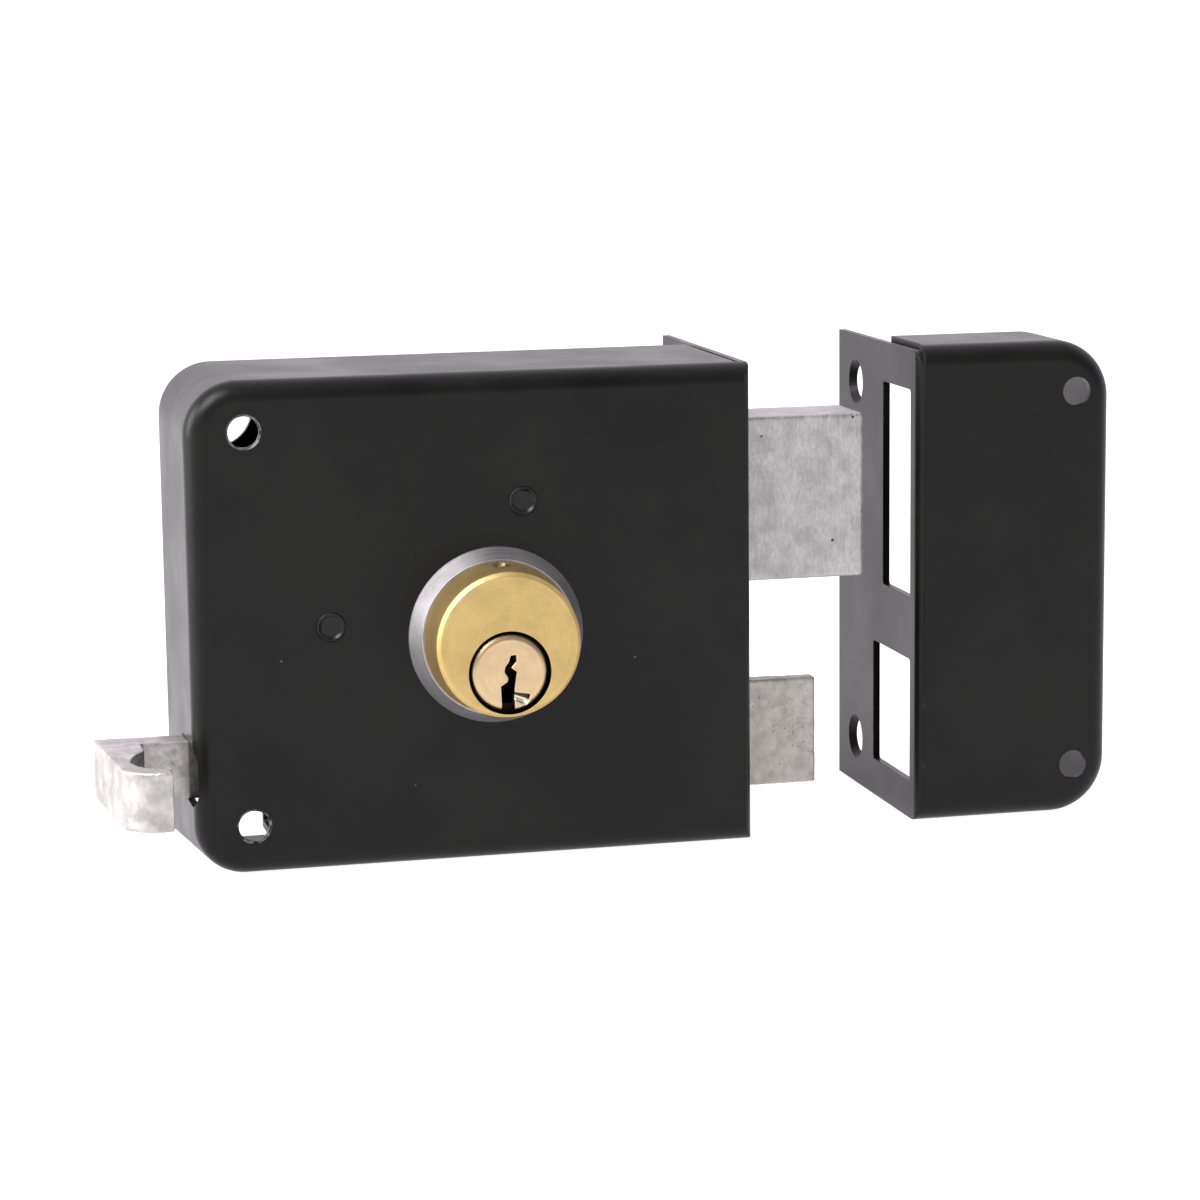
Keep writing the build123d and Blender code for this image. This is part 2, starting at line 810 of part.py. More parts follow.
def pinion_bush():
    """The flanged bush in the back plate that the pinion's journal turns in."""
    bush = rod_y(bush_flange_radius, back_plate_front - bush_flange, back_plate_front, 0, 0)
    bush += rod_y(bush_spigot_radius, back_plate_front, 0, 0, 0)
    start = back_plate_front - bush_flange - overrun
    return bush - rod_y(journal_radius + running_fit, start, overrun, 0, 0)


def cylinder_collar():
    """The conical ring between the cylinder's shoulder and the case."""
    collar = cone_y(collar_front_radius, collar_radius, collar_front, case_front, 0, plug_drop)
    collar -= rod_y(cylinder_radius + seat_gap, collar_front - overrun, collar_seat, 0, plug_drop)
    return collar - rod_y(cylinder_neck_radius + seat_gap, collar_seat - overrun, overrun, 0, plug_drop)


def cylinder_nut():
    """The ring nut that clamps the case between itself and the collar, notched for its spanner."""
    end = inner_front + nut_thickness
    nut = rod_y(nut_radius, inner_front, end, 0, plug_drop)
    nut -= rod_y(cylinder_neck_radius + running_fit, inner_front - overrun, end + overrun, 0, plug_drop)
    for index in range(nut_notch_count):
        angle = 2 * math.pi * index / nut_notch_count
        x = nut_radius * math.cos(angle)
        z = plug_drop + nut_radius * math.sin(angle)
        nut -= rod_y(nut_notch_radius, inner_front - overrun, end + overrun, x, z)
    return nut


def deadbolt_head():
    """The thrown block of the deadbolt, notched for the guide stud and rebated for its tail."""
    head = block(
        (deadbolt_inner, deadbolt_front, deadbolt_base),
        (deadbolt_tip, deadbolt_back, deadbolt_top),
    )
    tip_edges = head.faces().sort_by(Axis.X)[-1].edges()
    long_edges = head.edges().filter_by(Axis.X)
    head = fillet(tip_edges + long_edges, deadbolt_edge)
    lap_end = deadbolt_inner + tail_lap
    rebate_low = (deadbolt_inner - overrun, tail_front, deadbolt_base - overrun)
    head -= block(rebate_low, (lap_end, deadbolt_back + overrun, deadbolt_top + overrun))
    x, z = guide_stud_place
    notch = stud_shoulder_radius + slip
    end = x + throw + rack_extra_throw
    notch_low = (deadbolt_inner - overrun, deadbolt_front - overrun, z - notch)
    head -= block(notch_low, (end, deadbolt_back, z + notch))
    head -= rod_y(notch, deadbolt_front - overrun, deadbolt_back, end, z)
    for rivet in deadbolt_rivet_solids():
        head -= rivet
    return head - tail_form()


def deadbolt_rivet_solids():
    """The rivets through the deadbolt's head and its tail."""
    x = deadbolt_inner + deadbolt_rivet_inset
    levels = (tail_lap_base + deadbolt_rivet_edge, tail_top - deadbolt_rivet_edge)
    return [rod_y(deadbolt_rivet_radius, deadbolt_front, deadbolt_back, x, z) for z in levels]


def deadbolt_rivets():
    """Both rivets, headed flush."""
    return Compound(deadbolt_rivet_solids())


def rack_points():
    """The rack's teeth from left to right, with a tooth over the pinion's axis."""
    tip = pitch_radius - rack_addendum
    root = rack_root()
    slope = math.tan(math.radians(pressure_angle))
    half = (math.pi * module - backlash) / 4
    half_tip = half - (pitch_radius - tip) * slope
    half_root = half + (root - pitch_radius) * slope
    last = math.floor((plate_inside - rack_end_gap) / (math.pi * module))
    points = []
    for tooth in range(-1, last + 1):
        middle = tooth * math.pi * module
        points += [(middle - half_root, root), (middle - half_tip, tip)]
        points += [(middle + half_tip, tip), (middle + half_root, root)]
    return points


def rack_root():
    """Z of the roots between the rack's teeth."""
    return pitch_radius + pinion_addendum + root_clearance


def toe_right():
    """X of the side of the tail's toe that faces the pinion."""
    return -(pitch_radius + pinion_addendum + toe_gap)


def toe_left():
    """X of the side of the tail's toe that meets the latch lever."""
    return toe_right() - toe_width


def tail_form():
    """The tail's plate with its rack and its toe, before its slot is cut."""
    teeth = rack_points()
    rack_end = teeth[-1][0] + rack_end_land
    lap_end = deadbolt_inner + tail_lap
    outline = [(toe_left(), -toe_drop), (toe_right(), -toe_drop), (toe_right(), rack_root()), *teeth]
    outline += [(rack_end, rack_root()), (rack_end, tail_lap_base)]
    outline += [(lap_end, tail_lap_base), (lap_end, tail_top)]
    outline += [(toe_left() + tail_corner_cut, tail_top), (toe_left(), tail_top - tail_corner_cut)]
    return front_prism(closed(outline), tail_front, deadbolt_back)


def deadbolt_tail():
    """The deadbolt's tail: a plate with the rack, the guide slot and the toe that finds the lever."""
    plate = tail_form()
    x, z = guide_stud_place
    half = guide_stud_radius + slip
    end = x + throw + rack_extra_throw
    plate -= block((x, tail_front - overrun, z - half), (end, deadbolt_back + overrun, z + half))
    for middle in (x, end):
        plate -= rod_y(half, tail_front - overrun, deadbolt_back + overrun, middle, z)
    for rivet in deadbolt_rivet_solids():
        plate -= rivet
    return plate


def latch_head():
    """The latch's block: a tall lip in front and a bevelled body behind it."""
    lip_back = latch_front + latch_lip
    lip_tip = latch_front + latch_lip_end
    lip = ((latch_inner, latch_front), (latch_tip, latch_front), (latch_tip, lip_tip))
    lip += ((case_right, lip_back), (latch_inner, lip_back))
    body = ((latch_inner, latch_front), (latch_tip - latch_edge, latch_front + latch_edge))
    body += ((latch_tip - latch_edge, lip_tip), (case_right + latch_edge, latch_back))
    body += ((latch_inner, latch_back),)
    head = plan_prism(closed(lip), latch_base, latch_top)
    head = fillet(head.edges().filter_by(Axis.Z).sort_by(Axis.X)[-2:], latch_edge)
    head += plan_prism(closed(body), latch_base + latch_body_drop, latch_top - latch_body_drop)
    rebate_low = (latch_inner - overrun, latch_front - overrun, latch_base - overrun)
    head -= block(rebate_low, (latch_inner + bar_lap, bar_back, latch_top + overrun))
    for rivet in latch_rivet_solids():
        head -= rivet
    return head


def latch_rivet_solids():
    """The rivets through the latch's bar and its head."""
    x = latch_inner + bar_lap / 2
    levels = (bar_axis_z - latch_rivet_spread / 2, bar_axis_z + latch_rivet_spread / 2)
    return [rod_y(latch_rivet_radius, latch_front, latch_back, x, z) for z in levels]


def latch_rivets():
    """Both rivets, headed flush."""
    return Compound(latch_rivet_solids())


def pull_rivet_solid():
    """The rivet through the pull knob's stem and the bar."""
    x = case_left + stem_inside - pull_rivet_inset
    return rod_y(pull_rivet_radius, stem_front, stem_back, x, bar_axis_z)


def pull_rivet():
    """The rivet, headed flush."""
    return pull_rivet_solid()


def lever_pin_place():
    """X of the pin on the bar that swings the lever, half the travel to the right of its stud."""
    x, _ = lever_stud_place
    return x + latch_travel / 2


def lever_pin():
    """The pin on the bar that runs in the lever's slot."""
    return rod_y(lever_pin_radius, latch_front, lever_back + lever_pin_end, lever_pin_place(), bar_axis_z)


def lug_start():
    """X of the side of the bar's lug that the latch spring presses on."""
    return case_left + lug_place


def latch_bar():
    """The flat bar from the pull knob to the latch, with a lug bent forward for the spring."""
    bar_left = case_left + bar_end_inset
    bar = block((bar_left, latch_front, bar_base), (latch_inner + bar_lap, bar_back, bar_top))
    lug_end = lug_start() + lug_thickness
    bar += block((lug_start(), inner_front + slip, bar_base), (lug_end, latch_front, bar_top))
    bar -= rod_x(rod_radius + slip, lug_start() - overrun, lug_end + overrun, spring_axis_y, bar_axis_z)
    for rivet in (*latch_rivet_solids(), pull_rivet_solid(), lever_pin()):
        bar -= rivet
    return bar


def pull_knob():
    """The cast pull: a stem through the wall and a hooked arm that turns forward and back in."""
    stem_end = case_left + stem_inside
    back_left = (case_left - pull_reach, stem_back)
    corner = (case_left - pull_front_reach, case_front - pull_corner_lead)
    nose = (case_left - pull_arm_start, pull_nose)
    inner_nose = (case_left - pull_arm_start, pull_nose + pull_arm_thickness)
    hollow = (case_left - pull_hollow_x, case_front - pull_hollow_lead)
    cusp = (case_left - pull_cusp_x, case_front + pull_cusp_set_back)
    root = (case_left - pull_cusp_x, stem_front)
    path = [Line((stem_end, stem_back), back_left), Line(back_left, corner)]
    path += [bulged_arc(corner, nose, pull_front_bulge), Line(nose, inner_nose)]
    path += [bulged_arc(inner_nose, hollow, -pull_hollow_scoop), bulged_arc(hollow, cusp, -pull_cusp_scoop)]
    path += [Line(cusp, root), Line(root, (stem_end, stem_front))]
    path += [Line((stem_end, stem_front), (stem_end, stem_back))]
    solid = plan_prism(Curve() + path, bar_base, bar_top)
    upright = solid.edges().filter_by(Axis.Z)
    outside = upright.filter_by_position(Axis.X, case_left - pull_reach - overrun, case_left)
    solid = fillet(outside, pull_edge)
    slit_low = (case_left + bar_end_inset, latch_front, bar_base - overrun)
    solid -= block(slit_low, (stem_end + overrun, bar_back, bar_top + overrun))
    return solid - pull_rivet_solid()


def bulged_arc(start, end, bulge):
    """An arc that is set off by a bulge to the right-hand side of the way from its start to its end."""
    (x0, y0), (x1, y1) = start, end
    length = math.hypot(x1 - x0, y1 - y0)
    middle = ((x0 + x1) / 2 + (y1 - y0) / length * bulge, (y0 + y1) / 2 - (x1 - x0) / length * bulge)
    return ThreePointArc(start, middle, end)


def bracket_right():
    """X of the side of the bracket that the latch spring stands on."""
    return case_left + bracket_place + bracket_thickness


def spring_bracket():
    """The bent bracket, welded inside the case's front, that carries the rod and the spring."""
    left = case_left + bracket_place
    low = bar_base
    high = low + bracket_height
    bracket = block((left, inner_front, low), (bracket_right(), inner_front + bracket_depth, high))
    foot_low = (left, inner_front, high - bracket_foot)
    bracket += block(foot_low, (left + bracket_foot, inner_front + bracket_thickness, high))
    return bracket - rod_x(rod_radius, left - overrun, bracket_right() + overrun, spring_axis_y, bar_axis_z)


def spring_rod():
    """The headed rod through the latch spring and the bar's lug."""
    left = case_left + bracket_place
    end = lug_start() + lug_thickness + rod_overhang
    rod = rod_x(rod_radius, left, end, spring_axis_y, bar_axis_z)
    return rod + rod_x(rod_head_radius, left - rod_head, left, spring_axis_y, bar_axis_z)


def latch_spring():
    """The compression spring that throws the latch."""
    spring = coil_spring(
        "latch_spring", lug_start() - bracket_right(), spring_coil_radius, spring_wire_radius, spring_turns
    )
    return Pos(bracket_right(), spring_axis_y, bar_axis_z) * Rot(0, 90, 0) * spring


def latch_lever():
    """The lever beside the bar: swung by the bar's pin, or by the deadbolt's toe against its tab."""
    x, z = lever_stud_place
    drop = z - bar_axis_z
    reach = math.hypot(drop, latch_travel / 2)
    tilt = math.degrees(math.atan2(latch_travel / 2, drop))
    arm = rod_y(lever_eye_radius, lever_front, lever_back, 0, 0)
    arm += block((-lever_half_width, lever_front, -reach), (lever_half_width, lever_back, 0))
    arm += rod_y(lever_half_width, lever_front, lever_back, 0, -reach)
    hole = lever_pin_radius + lever_pin_play
    arm -= block((-hole, lever_front - overrun, -reach), (hole, lever_back + overrun, -drop))
    for depth in (-drop, -reach):
        arm -= rod_y(hole, lever_front - overrun, lever_back + overrun, 0, depth)
    lever = Pos(x, 0, z) * Rot(0, -tilt, 0) * arm
    tab_right = toe_left() - throw - lever_tab_gap
    tab_left = tab_right - lever_tab_thickness
    tab_base = case_base + lever_tab_share * case_height
    tab_top = tab_base + lever_tab_height
    lever += block((tab_left, lever_front, tab_base), (x, lever_back, tab_top))
    lever += block((tab_left, lever_front, tab_base), (tab_right, deadbolt_back - lever_tab_gap, tab_top))
    return lever - rod_y(lever_stud_radius + running_fit, lever_front - overrun, lever_back + overrun, x, z)


def deadbolt_slot():
    """Front, back, base and top of the deadbolt's slot in the strike box."""
    front = deadbolt_front - deadbolt_slot_front_gap
    back = deadbolt_back + deadbolt_slot_back_gap
    return front, back, deadbolt_base - deadbolt_slot_base_gap, deadbolt_top + deadbolt_slot_top_gap


def latch_slot():
    """Front, back, base and top of the latch's slot in the strike box."""
    front = latch_front - latch_slot_front_gap
    back = latch_back + latch_slot_back_gap
    return front, back, latch_base - latch_slot_base_gap, latch_top + latch_slot_top_gap


def strike_shell():
    """The strike box: a folded box for both bolts, with its plate on the side that faces the lock."""
    corner = strike_corner
    shell = folded_box(
        strike_width, strike_height, strike_box_depth, corner, corner, strike_plate_height, strike_plate_depth
    )
    shell = Pos(strike_left, strike_front, case_base) * mirror(shell, about=Plane.YZ)
    inside = strike_left + sheet + overrun
    for front, back, base, top in (deadbolt_slot(), latch_slot()):
        cut = block((strike_left - overrun, front, base), (inside, back, top))
        shell -= fillet(cut.edges().filter_by(Axis.X), slot_corner)
    for z in (case_base + strike_screw_edge, case_base + strike_plate_height - strike_screw_edge):
        shell -= rod_x(strike_screw_radius, strike_left - overrun, inside, strike_screw_y, z)
        sink = strike_screw_radius + strike_screw_countersink
        sink_end = strike_left + strike_screw_countersink
        shell -= cone_x(sink, strike_screw_radius, strike_left, sink_end, strike_screw_y, z)
    x = strike_left + strike_width - strike_front_screw_edge_x
    base = case_base + strike_front_screw_edge_z
    top = case_base + strike_height - strike_front_screw_edge_z
    for z in (base, top):
        start = strike_front - overrun
        shell -= rod_y(strike_front_screw_radius, start, strike_front + sheet + overrun, x, z)
    return shell


def biarc(start, start_way, end, end_way):
    """Two arcs, tangent to each other, that leave start along one way and reach end along another."""
    chord = end - start
    along = chord.dot(start_way + end_way)
    bow = 2 * (start_way.dot(end_way) - 1)
    reach = (along - math.sqrt(along * along - bow * chord.dot(chord))) / bow
    first = start + start_way * reach
    last = end - end_way * reach
    middle = (first + last) / 2
    return [TangentArc(start, middle, tangent=start_way), TangentArc(middle, end, tangent=last - first)]


def coil_spring(name, length, radius, wire, turns):
    """An open spring along Z from 0, as one tube on quarter-turn biarcs with straight ends."""
    rise = (length - 2 * wire) / turns
    climb = rise / (2 * math.pi)

    def at(angle):
        return Vector(radius * math.cos(angle), radius * math.sin(angle), wire + climb * angle)

    def way(angle):
        return Vector(-radius * math.sin(angle), radius * math.cos(angle), climb).normalized()

    angles = [index * math.pi / 2 for index in range(quarters_per_turn * turns + 1)]
    lead = 2 * wire
    path = [Line(at(0) - Vector(0, lead, 0), at(0))]
    for low, high in zip(angles, angles[1:]):
        path += biarc(at(low), way(low), at(high), way(high))
    last = at(angles[-1])
    path += [Line(last, last + Vector(0, lead, 0))]
    sample_count = samples_per_half_turn * 2 * turns
    samples = [at(index * math.pi / samples_per_half_turn) for index in range(sample_count)]
    print(name, "least gap to itself", round(least_gap(samples, wire), 3), "mm")
    route = Wire([segment.edge() for segment in path])
    section = Plane(origin=path[0] @ 0, z_dir=path[0] % 0) * Circle(wire)
    return sweep(section, path=route)


def least_gap(points, wire):
    """The least gap between a coil's wire and the wire of its next turns, measured on points."""
    nearest = math.inf
    for index, point in enumerate(points):
        for other in points[index + samples_per_half_turn :]:
            nearest = min(nearest, (other - point).length)
    return nearest - 2 * wire


pieces = (
    case_shell, back_plate, cover_posts, back_plate_screws, deadbolt_guide_stud, guide_stud_clip,
    lever_stud, lever_clip, cylinder_body, cylinder_collar, cylinder_nut, driver_pins, driver_springs,
    chamber_plugs, pinion_bush, spring_bracket, spring_rod, latch_spring, plug, key_pins, tail_bar,
    plug_cap, plug_cap_screws, drive_pinion, deadbolt_head, deadbolt_tail, deadbolt_rivets, latch_head,
    latch_bar, latch_rivets, pull_knob, pull_rivet, lever_pin, latch_lever, strike_shell,
)

os.makedirs("parts", exist_ok=True)
for piece in pieces:
    export_step(piece(), f"parts/{piece.__name__}.step")
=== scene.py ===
"""Looks of the rim box lock and its strike box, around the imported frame.

Lengths are in metres, in the frame's own axes: X runs from the pull to the strike, -Y looks out of
the front of the case, Z is up, and the middle of the plug is at the origin.
"""

import math

import bmesh
import bpy
from mathutils import Matrix, Vector, noise


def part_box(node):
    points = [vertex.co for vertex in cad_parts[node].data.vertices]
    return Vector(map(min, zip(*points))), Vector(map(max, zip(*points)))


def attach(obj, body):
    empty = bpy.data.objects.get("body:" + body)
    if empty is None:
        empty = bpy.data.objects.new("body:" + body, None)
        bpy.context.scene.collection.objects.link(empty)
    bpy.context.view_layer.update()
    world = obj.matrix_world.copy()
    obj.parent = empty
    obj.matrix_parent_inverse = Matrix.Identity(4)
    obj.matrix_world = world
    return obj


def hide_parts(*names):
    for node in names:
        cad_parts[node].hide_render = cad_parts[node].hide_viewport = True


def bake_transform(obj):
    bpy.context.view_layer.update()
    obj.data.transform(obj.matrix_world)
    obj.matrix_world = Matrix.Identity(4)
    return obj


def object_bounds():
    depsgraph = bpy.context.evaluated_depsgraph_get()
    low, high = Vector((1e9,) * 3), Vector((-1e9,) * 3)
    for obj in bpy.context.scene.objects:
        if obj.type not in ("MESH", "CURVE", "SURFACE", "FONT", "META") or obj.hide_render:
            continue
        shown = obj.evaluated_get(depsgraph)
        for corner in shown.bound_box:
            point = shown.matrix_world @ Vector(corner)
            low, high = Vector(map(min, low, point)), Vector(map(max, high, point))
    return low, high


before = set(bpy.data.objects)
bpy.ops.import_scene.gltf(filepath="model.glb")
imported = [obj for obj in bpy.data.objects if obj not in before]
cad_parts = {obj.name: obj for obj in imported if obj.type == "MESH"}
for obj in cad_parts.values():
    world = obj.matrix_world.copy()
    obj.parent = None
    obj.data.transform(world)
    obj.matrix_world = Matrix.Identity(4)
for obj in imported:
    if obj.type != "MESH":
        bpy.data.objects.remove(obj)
cad_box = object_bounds()

# Directions
along_x = (1.0, 0.0, 0.0)
along_y = (0.0, 1.0, 0.0)

# Places and sizes on the lock that the finishes follow
case_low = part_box("case_shell")[0]
plug_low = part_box("plug")[0]
cylinder_low, cylinder_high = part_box("cylinder_body")
cylinder_middle = tuple((cylinder_low + cylinder_high) / 2)
plug_middle = (0.0, 0.0, 0.0)
sheet = 0.0015
screw_hole_radius = 0.00315
screw_rim_width = 0.0003
screw_hole_places = ((-0.0503, 0.0, 0.0488), (-0.0503, 0.0, -0.031))
plug_ring_radius = 0.0084
# How far behind the plug's face the painted shade begins.
plug_unshaded_depth = 0.0005
first_pin_place = (0.0, -0.0494, 0.0209)
key_notch_middle = (0.0022, -0.0555, -0.0052)
key_notch_upright = (0.358, 0.0, 0.934)
key_notch_level = -0.0041
key_notch_depth = 0.0001
stud_names = ("deadbolt_guide_stud", "lever_stud")
stud_places = ((0.006, 0.0, 0.0327), (-0.0338, 0.0, 0.0089))
stud_dish_radius = 0.0018
stud_dish_slope = 0.001
stud_dish_depth = 0.0006

# Where the picture is taken from, as place, pitch, turn about the upright axis and tilt in radians.
camera_place = (-0.146727, -0.737166, 0.1325)
camera_pitch = -0.1677
camera_turn = -0.2381
camera_tilt = 0.0115
quarter_turn = math.radians(90)

# The camera's lens and film in millimetres, and how near and far it sees in metres.
camera_lens = 106.57
camera_film = 36.0
camera_near = 0.01
camera_far = 200.0

# The studio: a wide pale floor, pale surroundings that are dimmer in front, and soft boxes.
floor_reach = 40.0
floor_colour = (0.3, 0.3, 0.3, 1.0)
floor_light = (0.96, 0.93, 0.965, 1.0)
sky_behind = (1.3, 1.2, 1.32, 1.0)
sky_in_front = (0.36, 0.36, 0.37, 1.0)
sky_dim_level = -0.7
sky_bright_level = 0.35
lock_middle = (0.02, -0.02, 0.01)
key_light_place = (-0.9, -0.7, 1.2)
side_light_place = (-1.3, 0.1, 0.4)

# Numbers of the mixing node's sockets that hold colours
first_colour = 6
second_colour = 7
mixed_colour = 2


# Helpers that join shader nodes


def feed(tree, socket, value):
    """Feeds a socket from another socket, or sets it to a value."""
    if isinstance(value, bpy.types.NodeSocket):
        tree.links.new(value, socket)
    else:
        socket.default_value = value


def add_node(tree, kind, values=(), **settings):
    """A node of that kind; values are pairs of a socket's name or number and its value or source."""
    node = tree.nodes.new(kind)
    for name, setting in settings.items():
        setattr(node, name, setting)
    for name, value in values:
        feed(tree, node.inputs[name], value)
    return node


def sum_of(tree, operation, first, second=0.0, clamp=False):
    """The result of one sum on two values."""
    values = [(0, first), (1, second)]
    return add_node(tree, "ShaderNodeMath", values, operation=operation, use_clamp=clamp).outputs[0]


def vector_sum(tree, operation, first, second):
    """The outputs of one sum on two vectors."""
    values = [(0, first), (1, second)]
    return add_node(tree, "ShaderNodeVectorMath", values, operation=operation).outputs


def part_of(tree, mask, share):
    """A mask made weaker by a share or by another mask."""
    return sum_of(tree, "MULTIPLY", mask, share)


def ramp(tree, value, start, end, low=0.0, high=1.0):
    """Value carried smoothly from start..end to low..high."""
    values = [("Value", value), ("From Min", start), ("From Max", end), ("To Min", low), ("To Max", high)]
    return add_node(tree, "ShaderNodeMapRange", values, interpolation_type="SMOOTHSTEP").outputs["Result"]


def between(tree, share, low, high):
    """A value that goes smoothly from low to high as a share goes from none to all."""
    return ramp(tree, share, 0.0, 1.0, low, high)


def mixed(tree, share, first, second):
    """A colour between two colours."""
    values = [("Factor", share), (first_colour, first), (second_colour, second)]
    return add_node(tree, "ShaderNodeMix", values, data_type="RGBA").outputs[mixed_colour]


def laid_over(tree, mask, share, below, above):
    """A colour laid over another where a mask is high, as strongly as the share says."""
    return mixed(tree, part_of(tree, mask, share), below, above)


def tint(red, green, blue):
    """An opaque colour."""
    return (red, green, blue, 1.0)


def own_place(tree):
    """The point's place in the piece's own axes."""
    return tree.nodes.new("ShaderNodeTexCoord").outputs["Object"]


def per_size(tree, size):
    """How many of that size go in a metre."""
    return sum_of(tree, "DIVIDE", 1.0, size)


def cloud_over(tree, place, scale, detail, roughness):
    """Noise that changes in all three directions."""
    values = [("Vector", place), ("Scale", scale), ("Detail", detail), ("Roughness", roughness)]
    return add_node(tree, "ShaderNodeTexNoise", values).outputs


def from_axis(tree, middle):
    """How far a place lies from an axis along Y through a point, and how far along that axis."""
    arm = vector_sum(tree, "SUBTRACT", own_place(tree), middle)["Vector"]
    parts = add_node(tree, "ShaderNodeSeparateXYZ", [("Vector", arm)]).outputs
    squares = [sum_of(tree, "MULTIPLY", parts[axis], parts[axis]) for axis in ("X", "Z")]
    return sum_of(tree, "SQRT", sum_of(tree, "ADD", *squares)), parts["Y"]


def start_group(name, inputs, outputs):
    """A new effect with its named inputs and outputs, and the sockets inside that stand for them."""
    group = bpy.data.node_groups.new(name, "ShaderNodeTree")
    kinds = {"value": "NodeSocketFloat", "colour": "NodeSocketColor", "vector": "NodeSocketVector"}
    for title, kind, preset in inputs:
        socket = group.interface.new_socket(name=title, in_out="INPUT", socket_type=kinds[kind])
        socket.default_value = preset
    for title, kind in outputs:
        group.interface.new_socket(name=title, in_out="OUTPUT", socket_type=kinds[kind])
    given = group.nodes.new("NodeGroupInput").outputs
    result = group.nodes.new("NodeGroupOutput").inputs
    return group, given, result


def effect(tree, group, **values):
    """An effect placed in a finish; a value's name is the input's, in small letters with _ for a space."""
    node = tree.nodes.new("ShaderNodeGroup")
    node.node_tree = group
    for name, value in values.items():
        feed(tree, node.inputs[name.replace("_", " ").capitalize()], value)
    return node.outputs


# Effects that several finishes share


def make_mottle():
    """Soft cloudy patches between two colours; the sharper they are, the thinner the blend between."""
    cloud_middle = 0.5
    blend_share = 0.6
    narrowing_share = 0.45
    inputs = [
        ("Pale", "colour", tint(1.0, 1.0, 1.0)),
        ("Dark", "colour", tint(0.0, 0.0, 0.0)),
        ("Patch size", "value", 0.01),
        ("Sharpness", "value", 0.5),
    ]
    group, given, result = start_group("mottle", inputs, [("Color", "colour"), ("Share", "value")])
    scale = per_size(group, given["Patch size"])
    cloud = cloud_over(group, own_place(group), scale, detail=5.0, roughness=0.6)["Fac"]
    narrowing = part_of(group, given["Sharpness"], narrowing_share)
    blend = part_of(group, sum_of(group, "SUBTRACT", cloud_middle, narrowing), blend_share)
    start = sum_of(group, "SUBTRACT", cloud_middle, blend)
    end = sum_of(group, "ADD", cloud_middle, blend)
    share = ramp(group, cloud, start, end)
    group.links.new(mixed(group, share, given["Dark"], given["Pale"]), result["Color"])
    group.links.new(share, result["Share"])
    return group


def make_grain():
    """Fine even roughness of a surface, longest along the axis whose stretch is the largest."""
    low_grit = 0.3
    high_grit = 0.7
    inputs = [("Grain size", "value", 0.0005), ("Stretch", "vector", (1.0, 1.0, 1.0))]
    group, given, result = start_group("grain", inputs, [("Share", "value"), ("Height", "value")])
    drawn = vector_sum(group, "DIVIDE", own_place(group), given["Stretch"])["Vector"]
    scale = per_size(group, given["Grain size"])
    grit = cloud_over(group, drawn, scale, detail=4.0, roughness=0.65)["Fac"]
    group.links.new(ramp(group, grit, low_grit, high_grit), result["Share"])
    group.links.new(grit, result["Height"])
    return group


def make_turning():
    """Rings of a lathe tool about an axis along Y."""
    low_ring = 0.3
    high_ring = 0.7
    ring_detail = 2.0
    inputs = [("Middle", "vector", (0.0, 0.0, 0.0)), ("Ring width", "value", 0.0004)]
    group, given, result = start_group("turning", inputs, [("Share", "value"), ("Height", "value")])
    radius, depth = from_axis(group, given["Middle"])
    rings = sum_of(group, "DIVIDE", sum_of(group, "ADD", radius, depth), given["Ring width"])
    values = [("W", rings), ("Scale", 1.0), ("Detail", ring_detail)]
    ring = add_node(group, "ShaderNodeTexNoise", values, noise_dimensions="1D").outputs["Fac"]
    group.links.new(ramp(group, ring, low_ring, high_ring), result["Share"])
    group.links.new(ring, result["Height"])
    return group


def make_worn_edges():
    """Where an edge is near, as a broken band, and the normal of that edge slightly rounded."""
    slight_turn = 0.01
    full_turn = 0.12
    unworn_level = 0.75
    amount_share = 0.5
    break_softness = 0.08
    inputs = [("Reach", "value", 0.0004), ("Break size", "value", 0.002), ("Amount", "value", 0.5)]
    group, given, result = start_group("worn edges", inputs, [("Mask", "value"), ("Normal", "vector")])
    rounded = add_node(group, "ShaderNodeBevel", [("Radius", given["Reach"])], samples=6).outputs["Normal"]
    flat = group.nodes.new("ShaderNodeNewGeometry").outputs["Normal"]
    facing = vector_sum(group, "DOT_PRODUCT", rounded, flat)["Value"]
    band = ramp(group, sum_of(group, "SUBTRACT", 1.0, facing), slight_turn, full_turn)
    scale = per_size(group, given["Break size"])
    patches = cloud_over(group, own_place(group), scale, detail=4.0, roughness=0.7)["Fac"]
    limit = sum_of(group, "SUBTRACT", unworn_level, part_of(group, given["Amount"], amount_share))
    kept = ramp(group, patches, limit, sum_of(group, "ADD", limit, break_softness))
    group.links.new(sum_of(group, "MULTIPLY", band, kept, clamp=True), result["Mask"])
    group.links.new(rounded, result["Normal"])
    return group


def make_specks():
    """Small scattered spots: dust on paint, pits in metal."""
    bend = (0.0008, 0.0008, 0.0008)
    core_share = 0.6
    inputs = [("Spacing", "value", 0.004), ("Spot share", "value", 0.1), ("Density", "value", 0.3)]
    group, given, result = start_group("specks", inputs, [("Mask", "value")])
    scale = per_size(group, given["Spacing"])
    warp = cloud_over(group, own_place(group), scale, detail=2.0, roughness=0.5)["Color"]
    bent = vector_sum(group, "MULTIPLY", warp, bend)["Vector"]
    place = vector_sum(group, "ADD", own_place(group), bent)["Vector"]
    cell = add_node(group, "ShaderNodeTexVoronoi", [("Vector", place), ("Scale", scale)]).outputs
    core = part_of(group, given["Spot share"], core_share)
    spot = ramp(group, cell["Distance"], core, given["Spot share"], 1.0, 0.0)
    draw = add_node(group, "ShaderNodeSeparateColor", [("Color", cell["Color"])]).outputs["Red"]
    chosen = sum_of(group, "LESS_THAN", draw, given["Density"])
    group.links.new(part_of(group, spot, chosen), result["Mask"])
    return group


